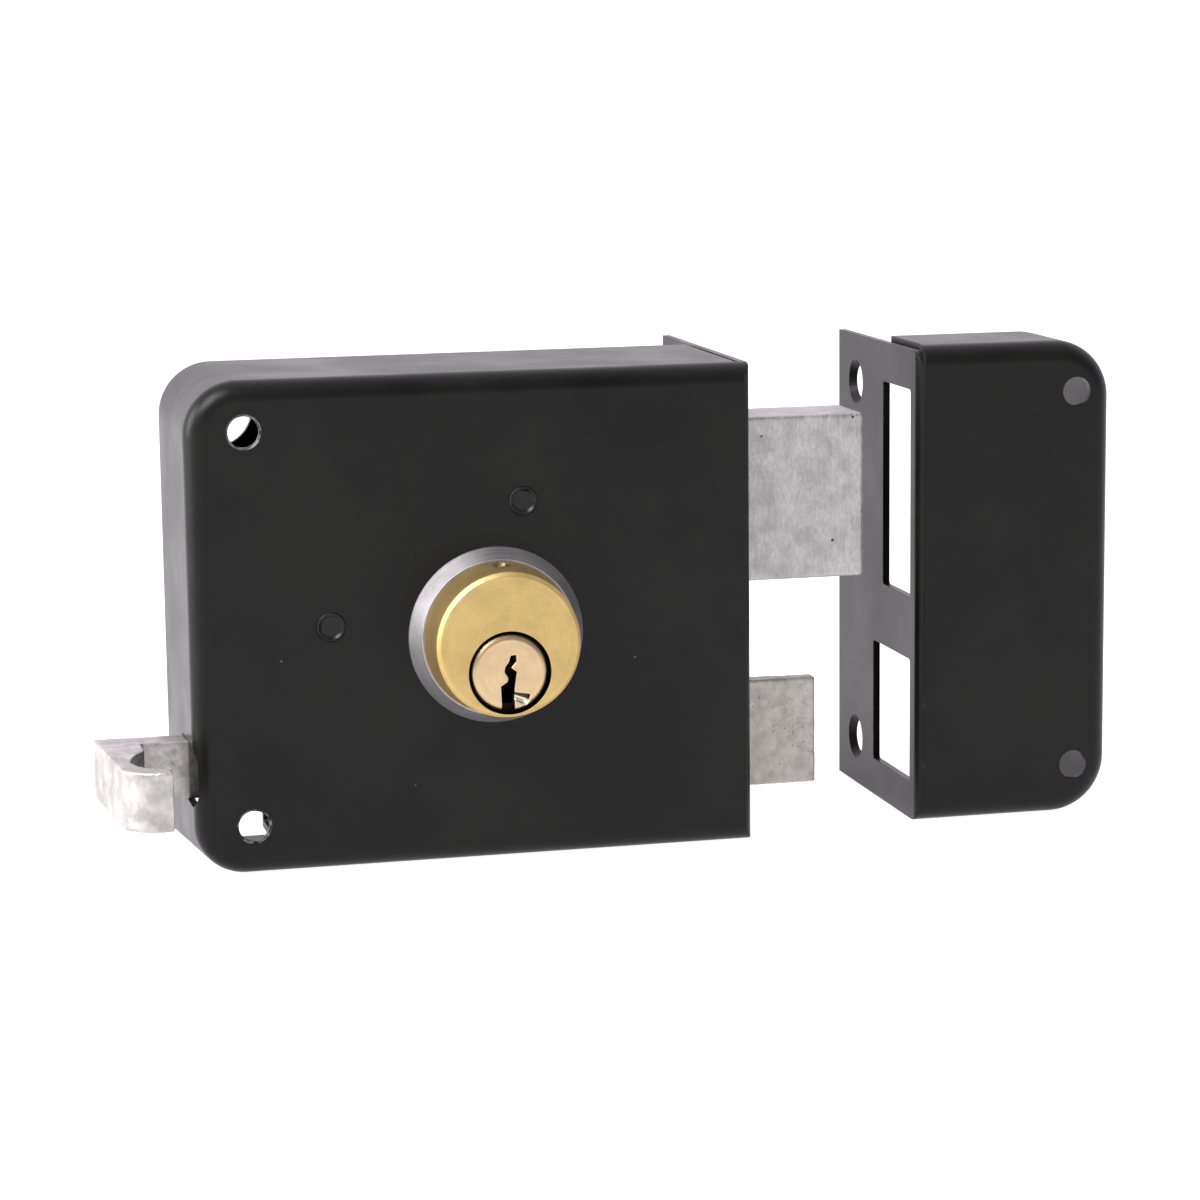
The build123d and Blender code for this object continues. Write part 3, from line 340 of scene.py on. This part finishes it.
def make_near_axis():
    """Where a place lies within a distance of an axis along Y."""
    inputs = [
        ("Middle", "vector", (0.0, 0.0, 0.0)),
        ("Distance", "value", 0.001),
        ("Softness", "value", 0.0002),
    ]
    group, given, result = start_group("near axis", inputs, [("Mask", "value")])
    radius = from_axis(group, given["Middle"])[0]
    end = sum_of(group, "ADD", given["Distance"], given["Softness"])
    group.links.new(ramp(group, radius, given["Distance"], end, 1.0, 0.0), result["Mask"])
    return group


def make_past_level():
    """Where a place lies past a level along one axis."""
    inputs = [("Axis", "vector", along_y), ("Level", "value", 0.0), ("Softness", "value", 0.0002)]
    group, given, result = start_group("past level", inputs, [("Mask", "value")])
    along = vector_sum(group, "DOT_PRODUCT", own_place(group), given["Axis"])["Value"]
    end = sum_of(group, "ADD", given["Level"], given["Softness"])
    group.links.new(ramp(group, along, given["Level"], end), result["Mask"])
    return group


def make_near_place():
    """Where a place lies within a distance of a point."""
    inputs = [
        ("Middle", "vector", (0.0, 0.0, 0.0)),
        ("Distance", "value", 0.002),
        ("Softness", "value", 0.0008),
    ]
    group, given, result = start_group("near place", inputs, [("Mask", "value")])
    gap = vector_sum(group, "DISTANCE", own_place(group), given["Middle"])["Value"]
    end = sum_of(group, "ADD", given["Distance"], given["Softness"])
    group.links.new(ramp(group, gap, given["Distance"], end, 1.0, 0.0), result["Mask"])
    return group


mottle = make_mottle()
grain = make_grain()
turning = make_turning()
worn_edges = make_worn_edges()
specks = make_specks()
near_axis = make_near_axis()
past_level = make_past_level()
near_place = make_near_place()


# Finishes


def start_finish(name, metallic, reflection=0.5):
    """A new material with its Principled shader, which is metallic and reflects as said all over."""
    material = bpy.data.materials.new(name)
    material.use_nodes = True
    tree = material.node_tree
    tree.nodes.clear()
    shader = tree.nodes.new("ShaderNodeBsdfPrincipled")
    surface = tree.nodes.new("ShaderNodeOutputMaterial")
    tree.links.new(shader.outputs["BSDF"], surface.inputs["Surface"])
    shader.inputs["Metallic"].default_value = metallic
    shader.inputs["Specular IOR Level"].default_value = reflection
    return material, tree, shader


def finish_surface(tree, shader, colour, roughness, height, depth, normal):
    """Feeds the shader's colour and roughness, and its normal from a height laid over a normal."""
    feed(tree, shader.inputs["Base Color"], colour)
    feed(tree, shader.inputs["Roughness"], roughness)
    values = [("Height", height), ("Distance", depth), ("Strength", 1.0), ("Normal", normal)]
    bump = add_node(tree, "ShaderNodeBump", values)
    tree.links.new(bump.outputs["Normal"], shader.inputs["Normal"])


def satin_black_paint():
    """Satin black paint on folded sheet, with faint smudges, dust specks and edges rubbed to grey metal."""
    dust_grey = tint(0.12, 0.12, 0.11)
    rubbed_grey = tint(0.16, 0.15, 0.15)
    bare_grey = tint(0.22, 0.21, 0.21)
    material, tree, shader = start_finish("satin_black_paint", metallic=0.0, reflection=0.2)
    smudge = effect(tree, mottle, pale=tint(0.0052, 0.0058, 0.0048), dark=tint(0.002, 0.0022, 0.002),
                    patch_size=0.028, sharpness=0.2)
    dust = effect(tree, specks, spacing=0.009, spot_share=0.035, density=0.3)
    edges = effect(tree, worn_edges, reach=0.0003, break_size=0.004, amount=0.35)
    peel = effect(tree, grain, grain_size=0.0009)
    chips = effect(tree, mottle, patch_size=0.002, sharpness=0.7)
    colour = laid_over(tree, dust["Mask"], share=0.5, below=smudge["Color"], above=dust_grey)
    colour = laid_over(tree, edges["Mask"], share=0.35, below=colour, above=rubbed_grey)
    for place in screw_hole_places:
        rim = effect(tree, near_axis, middle=place, distance=screw_hole_radius + screw_rim_width)
        chipped = part_of(tree, rim["Mask"], chips["Share"])
        colour = laid_over(tree, chipped, share=0.8, below=colour, above=bare_grey)
    roughness = between(tree, smudge["Share"], low=0.3, high=0.38)
    finish_surface(tree, shader, colour, roughness, peel["Height"], depth=0.000012, normal=edges["Normal"])
    return material


def painted_stud():
    """The studs: steel, painted over where their dished heads show, with the rims rubbed bright."""
    paint = tint(0.0055, 0.0055, 0.0055)
    steel = tint(0.5, 0.5, 0.51)
    bright_share = 0.35
    material, tree, shader = start_finish("painted_stud", metallic=0.0, reflection=0.26)
    behind = effect(tree, past_level, axis=along_y, level=case_low.y + sheet)["Mask"]
    edges = effect(tree, worn_edges, reach=0.0003, break_size=0.003, amount=0.75)
    bare = sum_of(tree, "MAXIMUM", behind, part_of(tree, edges["Mask"], bright_share))
    colour = mixed(tree, bare, paint, steel)
    tree.links.new(bare, shader.inputs["Metallic"])
    dishes = [
        effect(tree, near_axis, middle=place, distance=stud_dish_radius, softness=stud_dish_slope)["Mask"]
        for place in stud_places
    ]
    height = sum_of(tree, "SUBTRACT", 1.0, sum_of(tree, "ADD", *dishes))
    finish_surface(tree, shader, colour, 0.3, height, depth=stud_dish_depth, normal=edges["Normal"])
    return material


def bare_metal(name, pale, dark, patch_size, sharpness, low_roughness, high_roughness, grain_size, depth,
               reach, edge_colour, edge_amount, stretch=(1.0, 1.0, 1.0)):
    """Bare metal: two mottled colours, directional grain, and edges rubbed to another colour."""
    material, tree, shader = start_finish(name, metallic=1.0)
    cloud = effect(tree, mottle, pale=pale, dark=dark, patch_size=patch_size, sharpness=sharpness)
    fine = effect(tree, grain, grain_size=grain_size, stretch=stretch)
    edges = effect(tree, worn_edges, reach=reach, break_size=0.0015, amount=edge_amount)
    shaded = laid_over(tree, fine["Share"], share=0.3, below=cloud["Color"], above=dark)
    colour = mixed(tree, edges["Mask"], shaded, edge_colour)
    roughness = between(tree, fine["Share"], low_roughness, high_roughness)
    finish_surface(tree, shader, colour, roughness, fine["Height"], depth, edges["Normal"])
    return material


def blackened_steel():
    """Blackened sheet and screws."""
    return bare_metal(
        "blackened_steel", pale=tint(0.07, 0.07, 0.075), dark=tint(0.035, 0.035, 0.038),
        patch_size=0.012, sharpness=0.3, low_roughness=0.42, high_roughness=0.6, grain_size=0.0006,
        depth=0.00001, reach=0.0003, edge_colour=tint(0.25, 0.25, 0.26), edge_amount=0.4,
    )


def bright_steel():
    """Plated small parts."""
    return bare_metal(
        "bright_steel", pale=tint(0.62, 0.62, 0.63), dark=tint(0.42, 0.42, 0.44),
        patch_size=0.003, sharpness=0.3, low_roughness=0.26, high_roughness=0.4, grain_size=0.0003,
        depth=0.000006, reach=0.0002, edge_colour=tint(0.75, 0.75, 0.76), edge_amount=0.6,
    )


def drawn_steel():
    """Flat bars and levers as they come from the mill, oiled, with lines along the bar."""
    return bare_metal(
        "drawn_steel", pale=tint(0.46, 0.455, 0.45), dark=tint(0.3, 0.295, 0.29),
        patch_size=0.008, sharpness=0.3, low_roughness=0.32, high_roughness=0.5, grain_size=0.00025,
        depth=0.00001, reach=0.0003, edge_colour=tint(0.6, 0.6, 0.6), edge_amount=0.5,
        stretch=(14.0, 1.0, 1.0),
    )


def spring_steel():
    """Bright wire."""
    return bare_metal(
        "spring_steel", pale=tint(0.68, 0.68, 0.7), dark=tint(0.5, 0.5, 0.52),
        patch_size=0.002, sharpness=0.2, low_roughness=0.2, high_roughness=0.32, grain_size=0.0002,
        depth=0.000004, reach=0.0001, edge_colour=tint(0.75, 0.75, 0.76), edge_amount=0.3,
    )


def milled_steel():
    """The deadbolt: milled upright, with fine streaks, a few deep pits, and bruised edges."""
    streak_grey = tint(0.69, 0.68, 0.67)
    crumb_grey = tint(0.27, 0.26, 0.265)
    bruise_grey = tint(0.17, 0.16, 0.16)
    pit_grey = tint(0.05, 0.045, 0.045)
    pit_depths = 4.0
    material, tree, shader = start_finish("milled_steel", metallic=1.0)
    cloud = effect(tree, mottle, pale=tint(0.515, 0.505, 0.495), dark=tint(0.35, 0.342, 0.335),
                   patch_size=0.004, sharpness=0.45)
    streaks = effect(tree, grain, grain_size=0.0005, stretch=(1.0, 1.0, 16.0))
    crumbs = effect(tree, grain, grain_size=0.0006, stretch=(1.0, 1.0, 2.2))
    pits = effect(tree, specks, spacing=0.0042, spot_share=0.11, density=0.4)
    edges = effect(tree, worn_edges, reach=0.0006, break_size=0.0009, amount=0.6)
    colour = laid_over(tree, streaks["Share"], share=0.4, below=cloud["Color"], above=streak_grey)
    colour = laid_over(tree, crumbs["Share"], share=0.4, below=colour, above=crumb_grey)
    colour = laid_over(tree, edges["Mask"], share=0.7, below=colour, above=bruise_grey)
    colour = mixed(tree, pits["Mask"], colour, pit_grey)
    roughness = between(tree, streaks["Share"], low=0.42, high=0.58)
    raised = sum_of(tree, "ADD", streaks["Height"], crumbs["Height"])
    height = sum_of(tree, "SUBTRACT", raised, part_of(tree, pits["Mask"], pit_depths))
    finish_surface(tree, shader, colour, roughness, height, depth=0.00007, normal=edges["Normal"])
    return material


def sintered_steel():
    """The latch and the pinion: pressed and sintered, porous, with brownish patches."""
    rust_brown = tint(0.27, 0.19, 0.15)
    crumb_grey = tint(0.74, 0.71, 0.69)
    pore_grey = tint(0.12, 0.11, 0.11)
    edge_grey = tint(0.6, 0.57, 0.55)
    material, tree, shader = start_finish("sintered_steel", metallic=1.0)
    cloud = effect(tree, mottle, pale=tint(0.44, 0.42, 0.385), dark=tint(0.29, 0.275, 0.25),
                   patch_size=0.003, sharpness=0.5)
    rust = effect(tree, mottle, patch_size=0.009, sharpness=0.8)
    pores = effect(tree, specks, spacing=0.0011, spot_share=0.22, density=0.35)
    crumbs = effect(tree, grain, grain_size=0.0006, stretch=(1.0, 1.0, 1.4))
    edges = effect(tree, worn_edges, reach=0.0006, break_size=0.0011, amount=0.7)
    colour = laid_over(tree, rust["Share"], share=0.12, below=cloud["Color"], above=rust_brown)
    colour = laid_over(tree, crumbs["Share"], share=0.35, below=colour, above=crumb_grey)
    colour = laid_over(tree, pores["Mask"], share=0.5, below=colour, above=pore_grey)
    colour = laid_over(tree, edges["Mask"], share=0.6, below=colour, above=edge_grey)
    roughness = between(tree, crumbs["Share"], low=0.45, high=0.62)
    height = sum_of(tree, "SUBTRACT", crumbs["Height"], pores["Mask"])
    finish_surface(tree, shader, colour, roughness, height, depth=0.00004, normal=edges["Normal"])
    return material


def cast_zinc():
    """The pull: zinc alloy as cast, warm grey, cloudy, with soft shining edges, and painted shade on the
    stem where it lies inside the case wall.
    """
    blush = tint(0.48, 0.4, 0.375)
    pit_grey = tint(0.2, 0.185, 0.18)
    edge_grey = tint(0.78, 0.76, 0.74)
    # Painted shade: the dark grey laid on the stem inside the case wall.
    stem_shade_grey = tint(0.16, 0.155, 0.15)
    pit_depths = 0.8
    material, tree, shader = start_finish("cast_zinc", metallic=1.0)
    cloud = effect(tree, mottle, pale=tint(0.56, 0.55, 0.525), dark=tint(0.35, 0.345, 0.33),
                   patch_size=0.0045, sharpness=0.55)
    warm = effect(tree, mottle, patch_size=0.0035, sharpness=0.6)
    skin = effect(tree, grain, grain_size=0.0012)
    pits = effect(tree, specks, spacing=0.0025, spot_share=0.12, density=0.2)
    edges = effect(tree, worn_edges, reach=0.0006, break_size=0.0016, amount=0.8)
    # Painted shade: the stem is darkened past the case's left wall, where the slot shades it; the mask
    # moves out with the pull.
    inside = effect(tree, past_level, axis=along_x, level=case_low.x, softness=0.0004)["Mask"]
    colour = laid_over(tree, warm["Share"], share=0.3, below=cloud["Color"], above=blush)
    colour = laid_over(tree, pits["Mask"], share=0.5, below=colour, above=pit_grey)
    colour = laid_over(tree, edges["Mask"], share=0.7, below=colour, above=edge_grey)
    colour = mixed(tree, inside, colour, stem_shade_grey)
    roughness = between(tree, skin["Share"], low=0.36, high=0.52)
    height = sum_of(tree, "SUBTRACT", skin["Height"], part_of(tree, pits["Mask"], pit_depths))
    finish_surface(tree, shader, colour, roughness, height, depth=0.00006, normal=edges["Normal"])
    return material


def turned_metal(name, middle, pale, dark, ring_width, low_roughness, high_roughness, depth, edge_colour,
                 edge_amount, painted_shade=None, scar_and_painted_light=None):
    """Metal turned on a lathe about an axis along Y, with rings, handling marks and rubbed edges.

    The first hook gives a mask where painted shade darkens the metal; the second changes the colour in one
    place: a scar on the cylinder, and painted highlight and painted shade on the plug's key notch.
    """
    painted_shade_brown = tint(0.014, 0.009, 0.006)
    material, tree, shader = start_finish(name, metallic=1.0)
    cloud = effect(tree, mottle, pale=pale, dark=dark, patch_size=0.007, sharpness=0.25)
    rings = effect(tree, turning, middle=middle, ring_width=ring_width)
    edges = effect(tree, worn_edges, reach=0.00035, break_size=0.003, amount=edge_amount)
    colour = laid_over(tree, rings["Share"], share=0.18, below=cloud["Color"], above=dark)
    colour = laid_over(tree, edges["Mask"], share=0.7, below=colour, above=edge_colour)
    # Painted shade: dark brown laid over the metal where the first hook's mask is high.
    if painted_shade is not None:
        colour = mixed(tree, painted_shade(tree), colour, painted_shade_brown)
    if scar_and_painted_light is not None:
        colour = scar_and_painted_light(tree, colour)
    roughness = between(tree, rings["Share"], low_roughness, high_roughness)
    finish_surface(tree, shader, colour, roughness, rings["Height"], depth, edges["Normal"])
    return material


def plug_bore_painted_shade(tree):
    """Painted shade in the cylinder's bore, which shows as a dark ring around the plug."""
    return effect(tree, near_axis, middle=plug_middle, distance=plug_ring_radius, softness=0.0001)["Mask"]


def plug_recess_painted_shade(tree):
    """Painted shade on all of the plug behind its face: the sides of its head, the keyway and the notch."""
    level = plug_low.y + plug_unshaded_depth
    return effect(tree, past_level, axis=along_y, level=level, softness=0.0009)["Mask"]


def first_pin_scar(tree, colour):
    """A rough bright and dark patch on top of the cylinder, where its first pin hole is closed."""
    near = effect(tree, near_place, middle=first_pin_place, distance=0.0016, softness=0.0009)["Mask"]
    patch = effect(tree, mottle, pale=tint(0.75, 0.68, 0.5), dark=tint(0.1, 0.07, 0.04),
                   patch_size=0.0011, sharpness=0.85)
    return mixed(tree, near, colour, patch["Color"])


def key_notch_painted_light(tree, colour):
    """The notch beside the keyway: a painted highlight on its lower side and painted shade on its upper
    side.
    """
    painted_highlight_brass = tint(0.85, 0.8, 0.66)
    painted_shade_brass = tint(0.06, 0.05, 0.035)
    sunk_level = plug_low.y + key_notch_depth
    near = effect(tree, near_place, middle=key_notch_middle, distance=0.0021, softness=0.0003)["Mask"]
    sunk = effect(tree, past_level, axis=along_y, level=sunk_level, softness=0.0001)["Mask"]
    upper = effect(tree, past_level, axis=key_notch_upright, level=key_notch_level, softness=0.0003)["Mask"]
    # Painted light: a bright painted highlight on the notch's lower side and dark painted shade on its
    # upper side.
    painted_light_facets = mixed(tree, upper, painted_highlight_brass, painted_shade_brass)
    return mixed(tree, part_of(tree, near, sunk), colour, painted_light_facets)


def cylinder_brass():
    """Turned satin brass of the cylinder."""
    return turned_metal(
        "cylinder_brass", cylinder_middle, pale=tint(0.64, 0.47, 0.2), dark=tint(0.5, 0.36, 0.145),
        ring_width=0.0005, low_roughness=0.44, high_roughness=0.54, depth=0.000004,
        edge_colour=tint(0.74, 0.58, 0.3), edge_amount=0.75, painted_shade=plug_bore_painted_shade, scar_and_painted_light=first_pin_scar,
    )


def plug_brass():
    """Redder brass of the plug, finely turned."""
    return turned_metal(
        "plug_brass", plug_middle, pale=tint(0.64, 0.485, 0.29), dark=tint(0.52, 0.385, 0.22),
        ring_width=0.0007, low_roughness=0.3, high_roughness=0.36, depth=0.000002,
        edge_colour=tint(0.9, 0.74, 0.52), edge_amount=0.9, painted_shade=plug_recess_painted_shade, scar_and_painted_light=key_notch_painted_light,
    )


def pin_brass():
    """Brass of the pins, the bush and the hole plugs."""
    return turned_metal(
        "pin_brass", plug_middle, pale=tint(0.66, 0.46, 0.2), dark=tint(0.42, 0.27, 0.1),
        ring_width=0.0006, low_roughness=0.3, high_roughness=0.45, depth=0.00001,
        edge_colour=tint(0.8, 0.62, 0.32), edge_amount=0.6,
    )


def nickel_silver():
    """Pale drivers."""
    return turned_metal(
        "nickel_silver", plug_middle, pale=tint(0.62, 0.6, 0.55), dark=tint(0.48, 0.46, 0.42),
        ring_width=0.0005, low_roughness=0.28, high_roughness=0.4, depth=0.000005,
        edge_colour=tint(0.75, 0.73, 0.68), edge_amount=0.5,
    )


def collar_metal():
    """Dull grey ring behind the cylinder."""
    return turned_metal(
        "collar_metal", cylinder_middle, pale=tint(0.44, 0.42, 0.43), dark=tint(0.3, 0.285, 0.295),
        ring_width=0.0006, low_roughness=0.42, high_roughness=0.54, depth=0.000006,
        edge_colour=tint(0.5, 0.48, 0.5), edge_amount=0.5,
    )


# The finish of each material slot
finishes = {
    "painted_steel": satin_black_paint(),
    "blackened_steel": blackened_steel(),
    "bright_steel": bright_steel(),
    "drawn_steel": drawn_steel(),
    "milled_steel": milled_steel(),
    "sintered_steel": sintered_steel(),
    "spring_steel": spring_steel(),
    "cast_zinc": cast_zinc(),
    "collar_metal": collar_metal(),
    "cylinder_brass": cylinder_brass(),
    "plug_brass": plug_brass(),
    "pin_brass": pin_brass(),
    "nickel_silver": nickel_silver(),
}


def slot_of(node):
    """The material slot that a CAD node was packed with."""
    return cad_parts[node].material_slots[0].material.name.split(".")[0]


def dress_nodes():
    """Gives every CAD node the finish of its slot, and the two studs their own."""
    stud_finish = painted_stud()
    for name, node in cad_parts.items():
        finish = stud_finish if name in stud_names else finishes[slot_of(name)]
        for place in node.material_slots:
            place.material = finish


# Pieces that stand for CAD nodes: three whose real surface is rougher, and the latch spring


def put_in_scene(name, data):
    """A new object of the scene."""
    thing = bpy.data.objects.new(name, data)
    bpy.context.scene.collection.objects.link(thing)
    return thing


def dressed_piece(name, node, mesh):
    """A piece with the finish of a CAD node's slot."""
    mesh.materials.clear()
    mesh.materials.append(finishes[slot_of(node)])
    return put_in_scene(name, mesh)


def stand_for(node):
    """Hides the CAD node that a piece stands for."""
    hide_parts(node)


def finely_meshed(node):
    """A closed, even mesh of a CAD node's shape."""
    weld_gap = 0.000001
    mesh_step = 0.0003
    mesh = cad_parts[node].data.copy()
    shape = bmesh.new()
    shape.from_mesh(mesh)
    bmesh.ops.remove_doubles(shape, verts=shape.verts, dist=weld_gap)
    shape.to_mesh(mesh)
    shape.free()
    rough = put_in_scene("rough", mesh)
    remesh = rough.modifiers.new("even", "REMESH")
    remesh.mode = "VOXEL"
    remesh.voxel_size = mesh_step
    evaluated = rough.evaluated_get(bpy.context.evaluated_depsgraph_get())
    even = bpy.data.meshes.new_from_object(evaluated)
    bpy.data.objects.remove(rough)
    bpy.data.meshes.remove(mesh)
    return even


def smoothed_places(shape, rounds):
    """Where each vertex goes when all are drawn halfway to their neighbours' middle, round by round."""
    places = [vertex.co.copy() for vertex in shape.verts]
    neighbours = [[edge.other_vert(vertex).index for edge in vertex.link_edges] for vertex in shape.verts]
    for _ in range(rounds):
        places = [
            (places[i] + sum((places[j] for j in near), Vector()) / max(len(near), 1)) / 2
            for i, near in enumerate(neighbours)
        ]
    return places


def roughened(mesh, rounds, chip_size, chip_start, skin_size, skin_depth):
    """Rounds the edges of a mesh, chips them where a slow noise is high, and makes its faces uneven.

    Every move is inwards, so that the piece stays within its CAD solid.
    """
    fine_chip_share = 0.5
    fine_chip_scale = 2.7
    chip_fade = 0.35
    least_share = 0.22
    skin_shift = Vector((5.1, 1.7, 3.3))
    shape = bmesh.new()
    shape.from_mesh(mesh)
    shape.verts.ensure_lookup_table()
    shape.verts.index_update()
    shape.normal_update()
    soft = smoothed_places(shape, rounds)
    moved = []
    for vertex, goal in zip(shape.verts, soft):
        coarse = vertex.co / chip_size
        chip = noise.noise(coarse) + fine_chip_share * noise.noise(coarse * fine_chip_scale)
        share = min(max((chip - chip_start) / chip_fade, least_share), 1.0)
        skin = (1 + noise.noise(vertex.co / skin_size + skin_shift)) / 2
        moved.append(vertex.co.lerp(goal, share) - vertex.normal * (skin_depth * skin))
    for vertex, place in zip(shape.verts, moved):
        vertex.co = place
    for face in shape.faces:
        face.smooth = True
    shape.to_mesh(mesh)
    shape.free()
    return mesh


def rough_piece(name, node, body, **wear):
    """A piece with worn edges and an uneven skin that stands for a CAD node and moves with a body."""
    piece = dressed_piece(name, node, roughened(finely_meshed(node), **wear))
    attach(piece, body)
    stand_for(node)


def shortening_spring():
    """The latch spring, which stands on its bracket in the case and which the latch bar's lug presses
    short; here it is a fixed copy of the CAD spring.
    """
    spring = dressed_piece("coiled_latch_spring", "latch_spring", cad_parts["latch_spring"].data.copy())
    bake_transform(spring)
    stand_for("latch_spring")


rough_piece("worn_deadbolt_head", "deadbolt_head", "deadbolt", rounds=6, chip_size=0.0016,
            chip_start=0.1, skin_size=0.004, skin_depth=0.00004)
rough_piece("worn_latch_head", "latch_head", "latch", rounds=7, chip_size=0.0014,
            chip_start=0.0, skin_size=0.002, skin_depth=0.00008)
rough_piece("cast_pull", "pull_knob", "latch", rounds=4, chip_size=0.003,
            chip_start=0.0, skin_size=0.003, skin_depth=0.00012)
shortening_spring()
dress_nodes()


# Camera, floor and light


def make_camera():
    """The camera at the picture's viewing angle."""
    lens = bpy.data.cameras.new("picture_camera")
    lens.sensor_width = camera_film
    lens.lens = camera_lens
    lens.clip_start = camera_near
    lens.clip_end = camera_far
    camera = put_in_scene("picture_camera", lens)
    turn = Matrix.Rotation(camera_turn, 4, "Z")
    pitch = Matrix.Rotation(camera_pitch, 4, "X")
    tilt = Matrix.Rotation(camera_tilt, 4, "Y")
    upright = Matrix.Rotation(quarter_turn, 4, "X")
    camera.matrix_world = Matrix.Translation(camera_place) @ turn @ pitch @ tilt @ upright
    bpy.context.scene.camera = camera


def make_floor(level):
    """A wide pale floor at that level."""
    corners = [(-1, -1), (1, -1), (1, 1), (-1, 1)]
    shape = bmesh.new()
    shape.faces.new([shape.verts.new((x * floor_reach, y * floor_reach, level)) for x, y in corners])
    mesh = bpy.data.meshes.new("floor")
    shape.to_mesh(mesh)
    shape.free()
    material, tree, shader = start_finish("pale_floor", metallic=0.0, reflection=0.1)
    shader.inputs["Base Color"].default_value = floor_colour
    shader.inputs["Roughness"].default_value = 0.9
    shader.inputs["Emission Color"].default_value = floor_light
    shader.inputs["Emission Strength"].default_value = 1.0
    mesh.materials.append(material)
    put_in_scene("floor", mesh)


def make_sky():
    """Pale surroundings, bright behind the lock and dimmer in front of it."""
    sky = bpy.data.worlds.new("studio")
    sky.use_nodes = True
    tree = sky.node_tree
    tree.nodes.clear()
    direction = tree.nodes.new("ShaderNodeTexCoord").outputs["Generated"]
    parts = add_node(tree, "ShaderNodeSeparateXYZ", [("Vector", direction)]).outputs
    share = ramp(tree, parts["Y"], sky_dim_level, sky_bright_level)
    colour = mixed(tree, share, sky_in_front, sky_behind)
    background = add_node(tree, "ShaderNodeBackground", [("Color", colour), ("Strength", 1.0)])
    output = tree.nodes.new("ShaderNodeOutputWorld")
    tree.links.new(background.outputs["Background"], output.inputs["Surface"])
    bpy.context.scene.world = sky


def make_soft_box(name, place, side, power):
    """A square soft light at a place, turned to the middle of the lock."""
    light = bpy.data.lights.new(name, "AREA")
    light.shape = "SQUARE"
    light.size = side
    light.energy = power
    box = put_in_scene(name, light)
    box.location = place
    box.rotation_euler = (Vector(lock_middle) - Vector(place)).to_track_quat("-Z", "Y").to_euler()


make_camera()
make_floor(cad_box[0][2])
make_sky()
make_soft_box("key_light", key_light_place, side=0.9, power=34.0)
make_soft_box("side_light", side_light_place, side=0.8, power=18.0)
bpy.context.scene.view_settings.view_transform = "Standard"
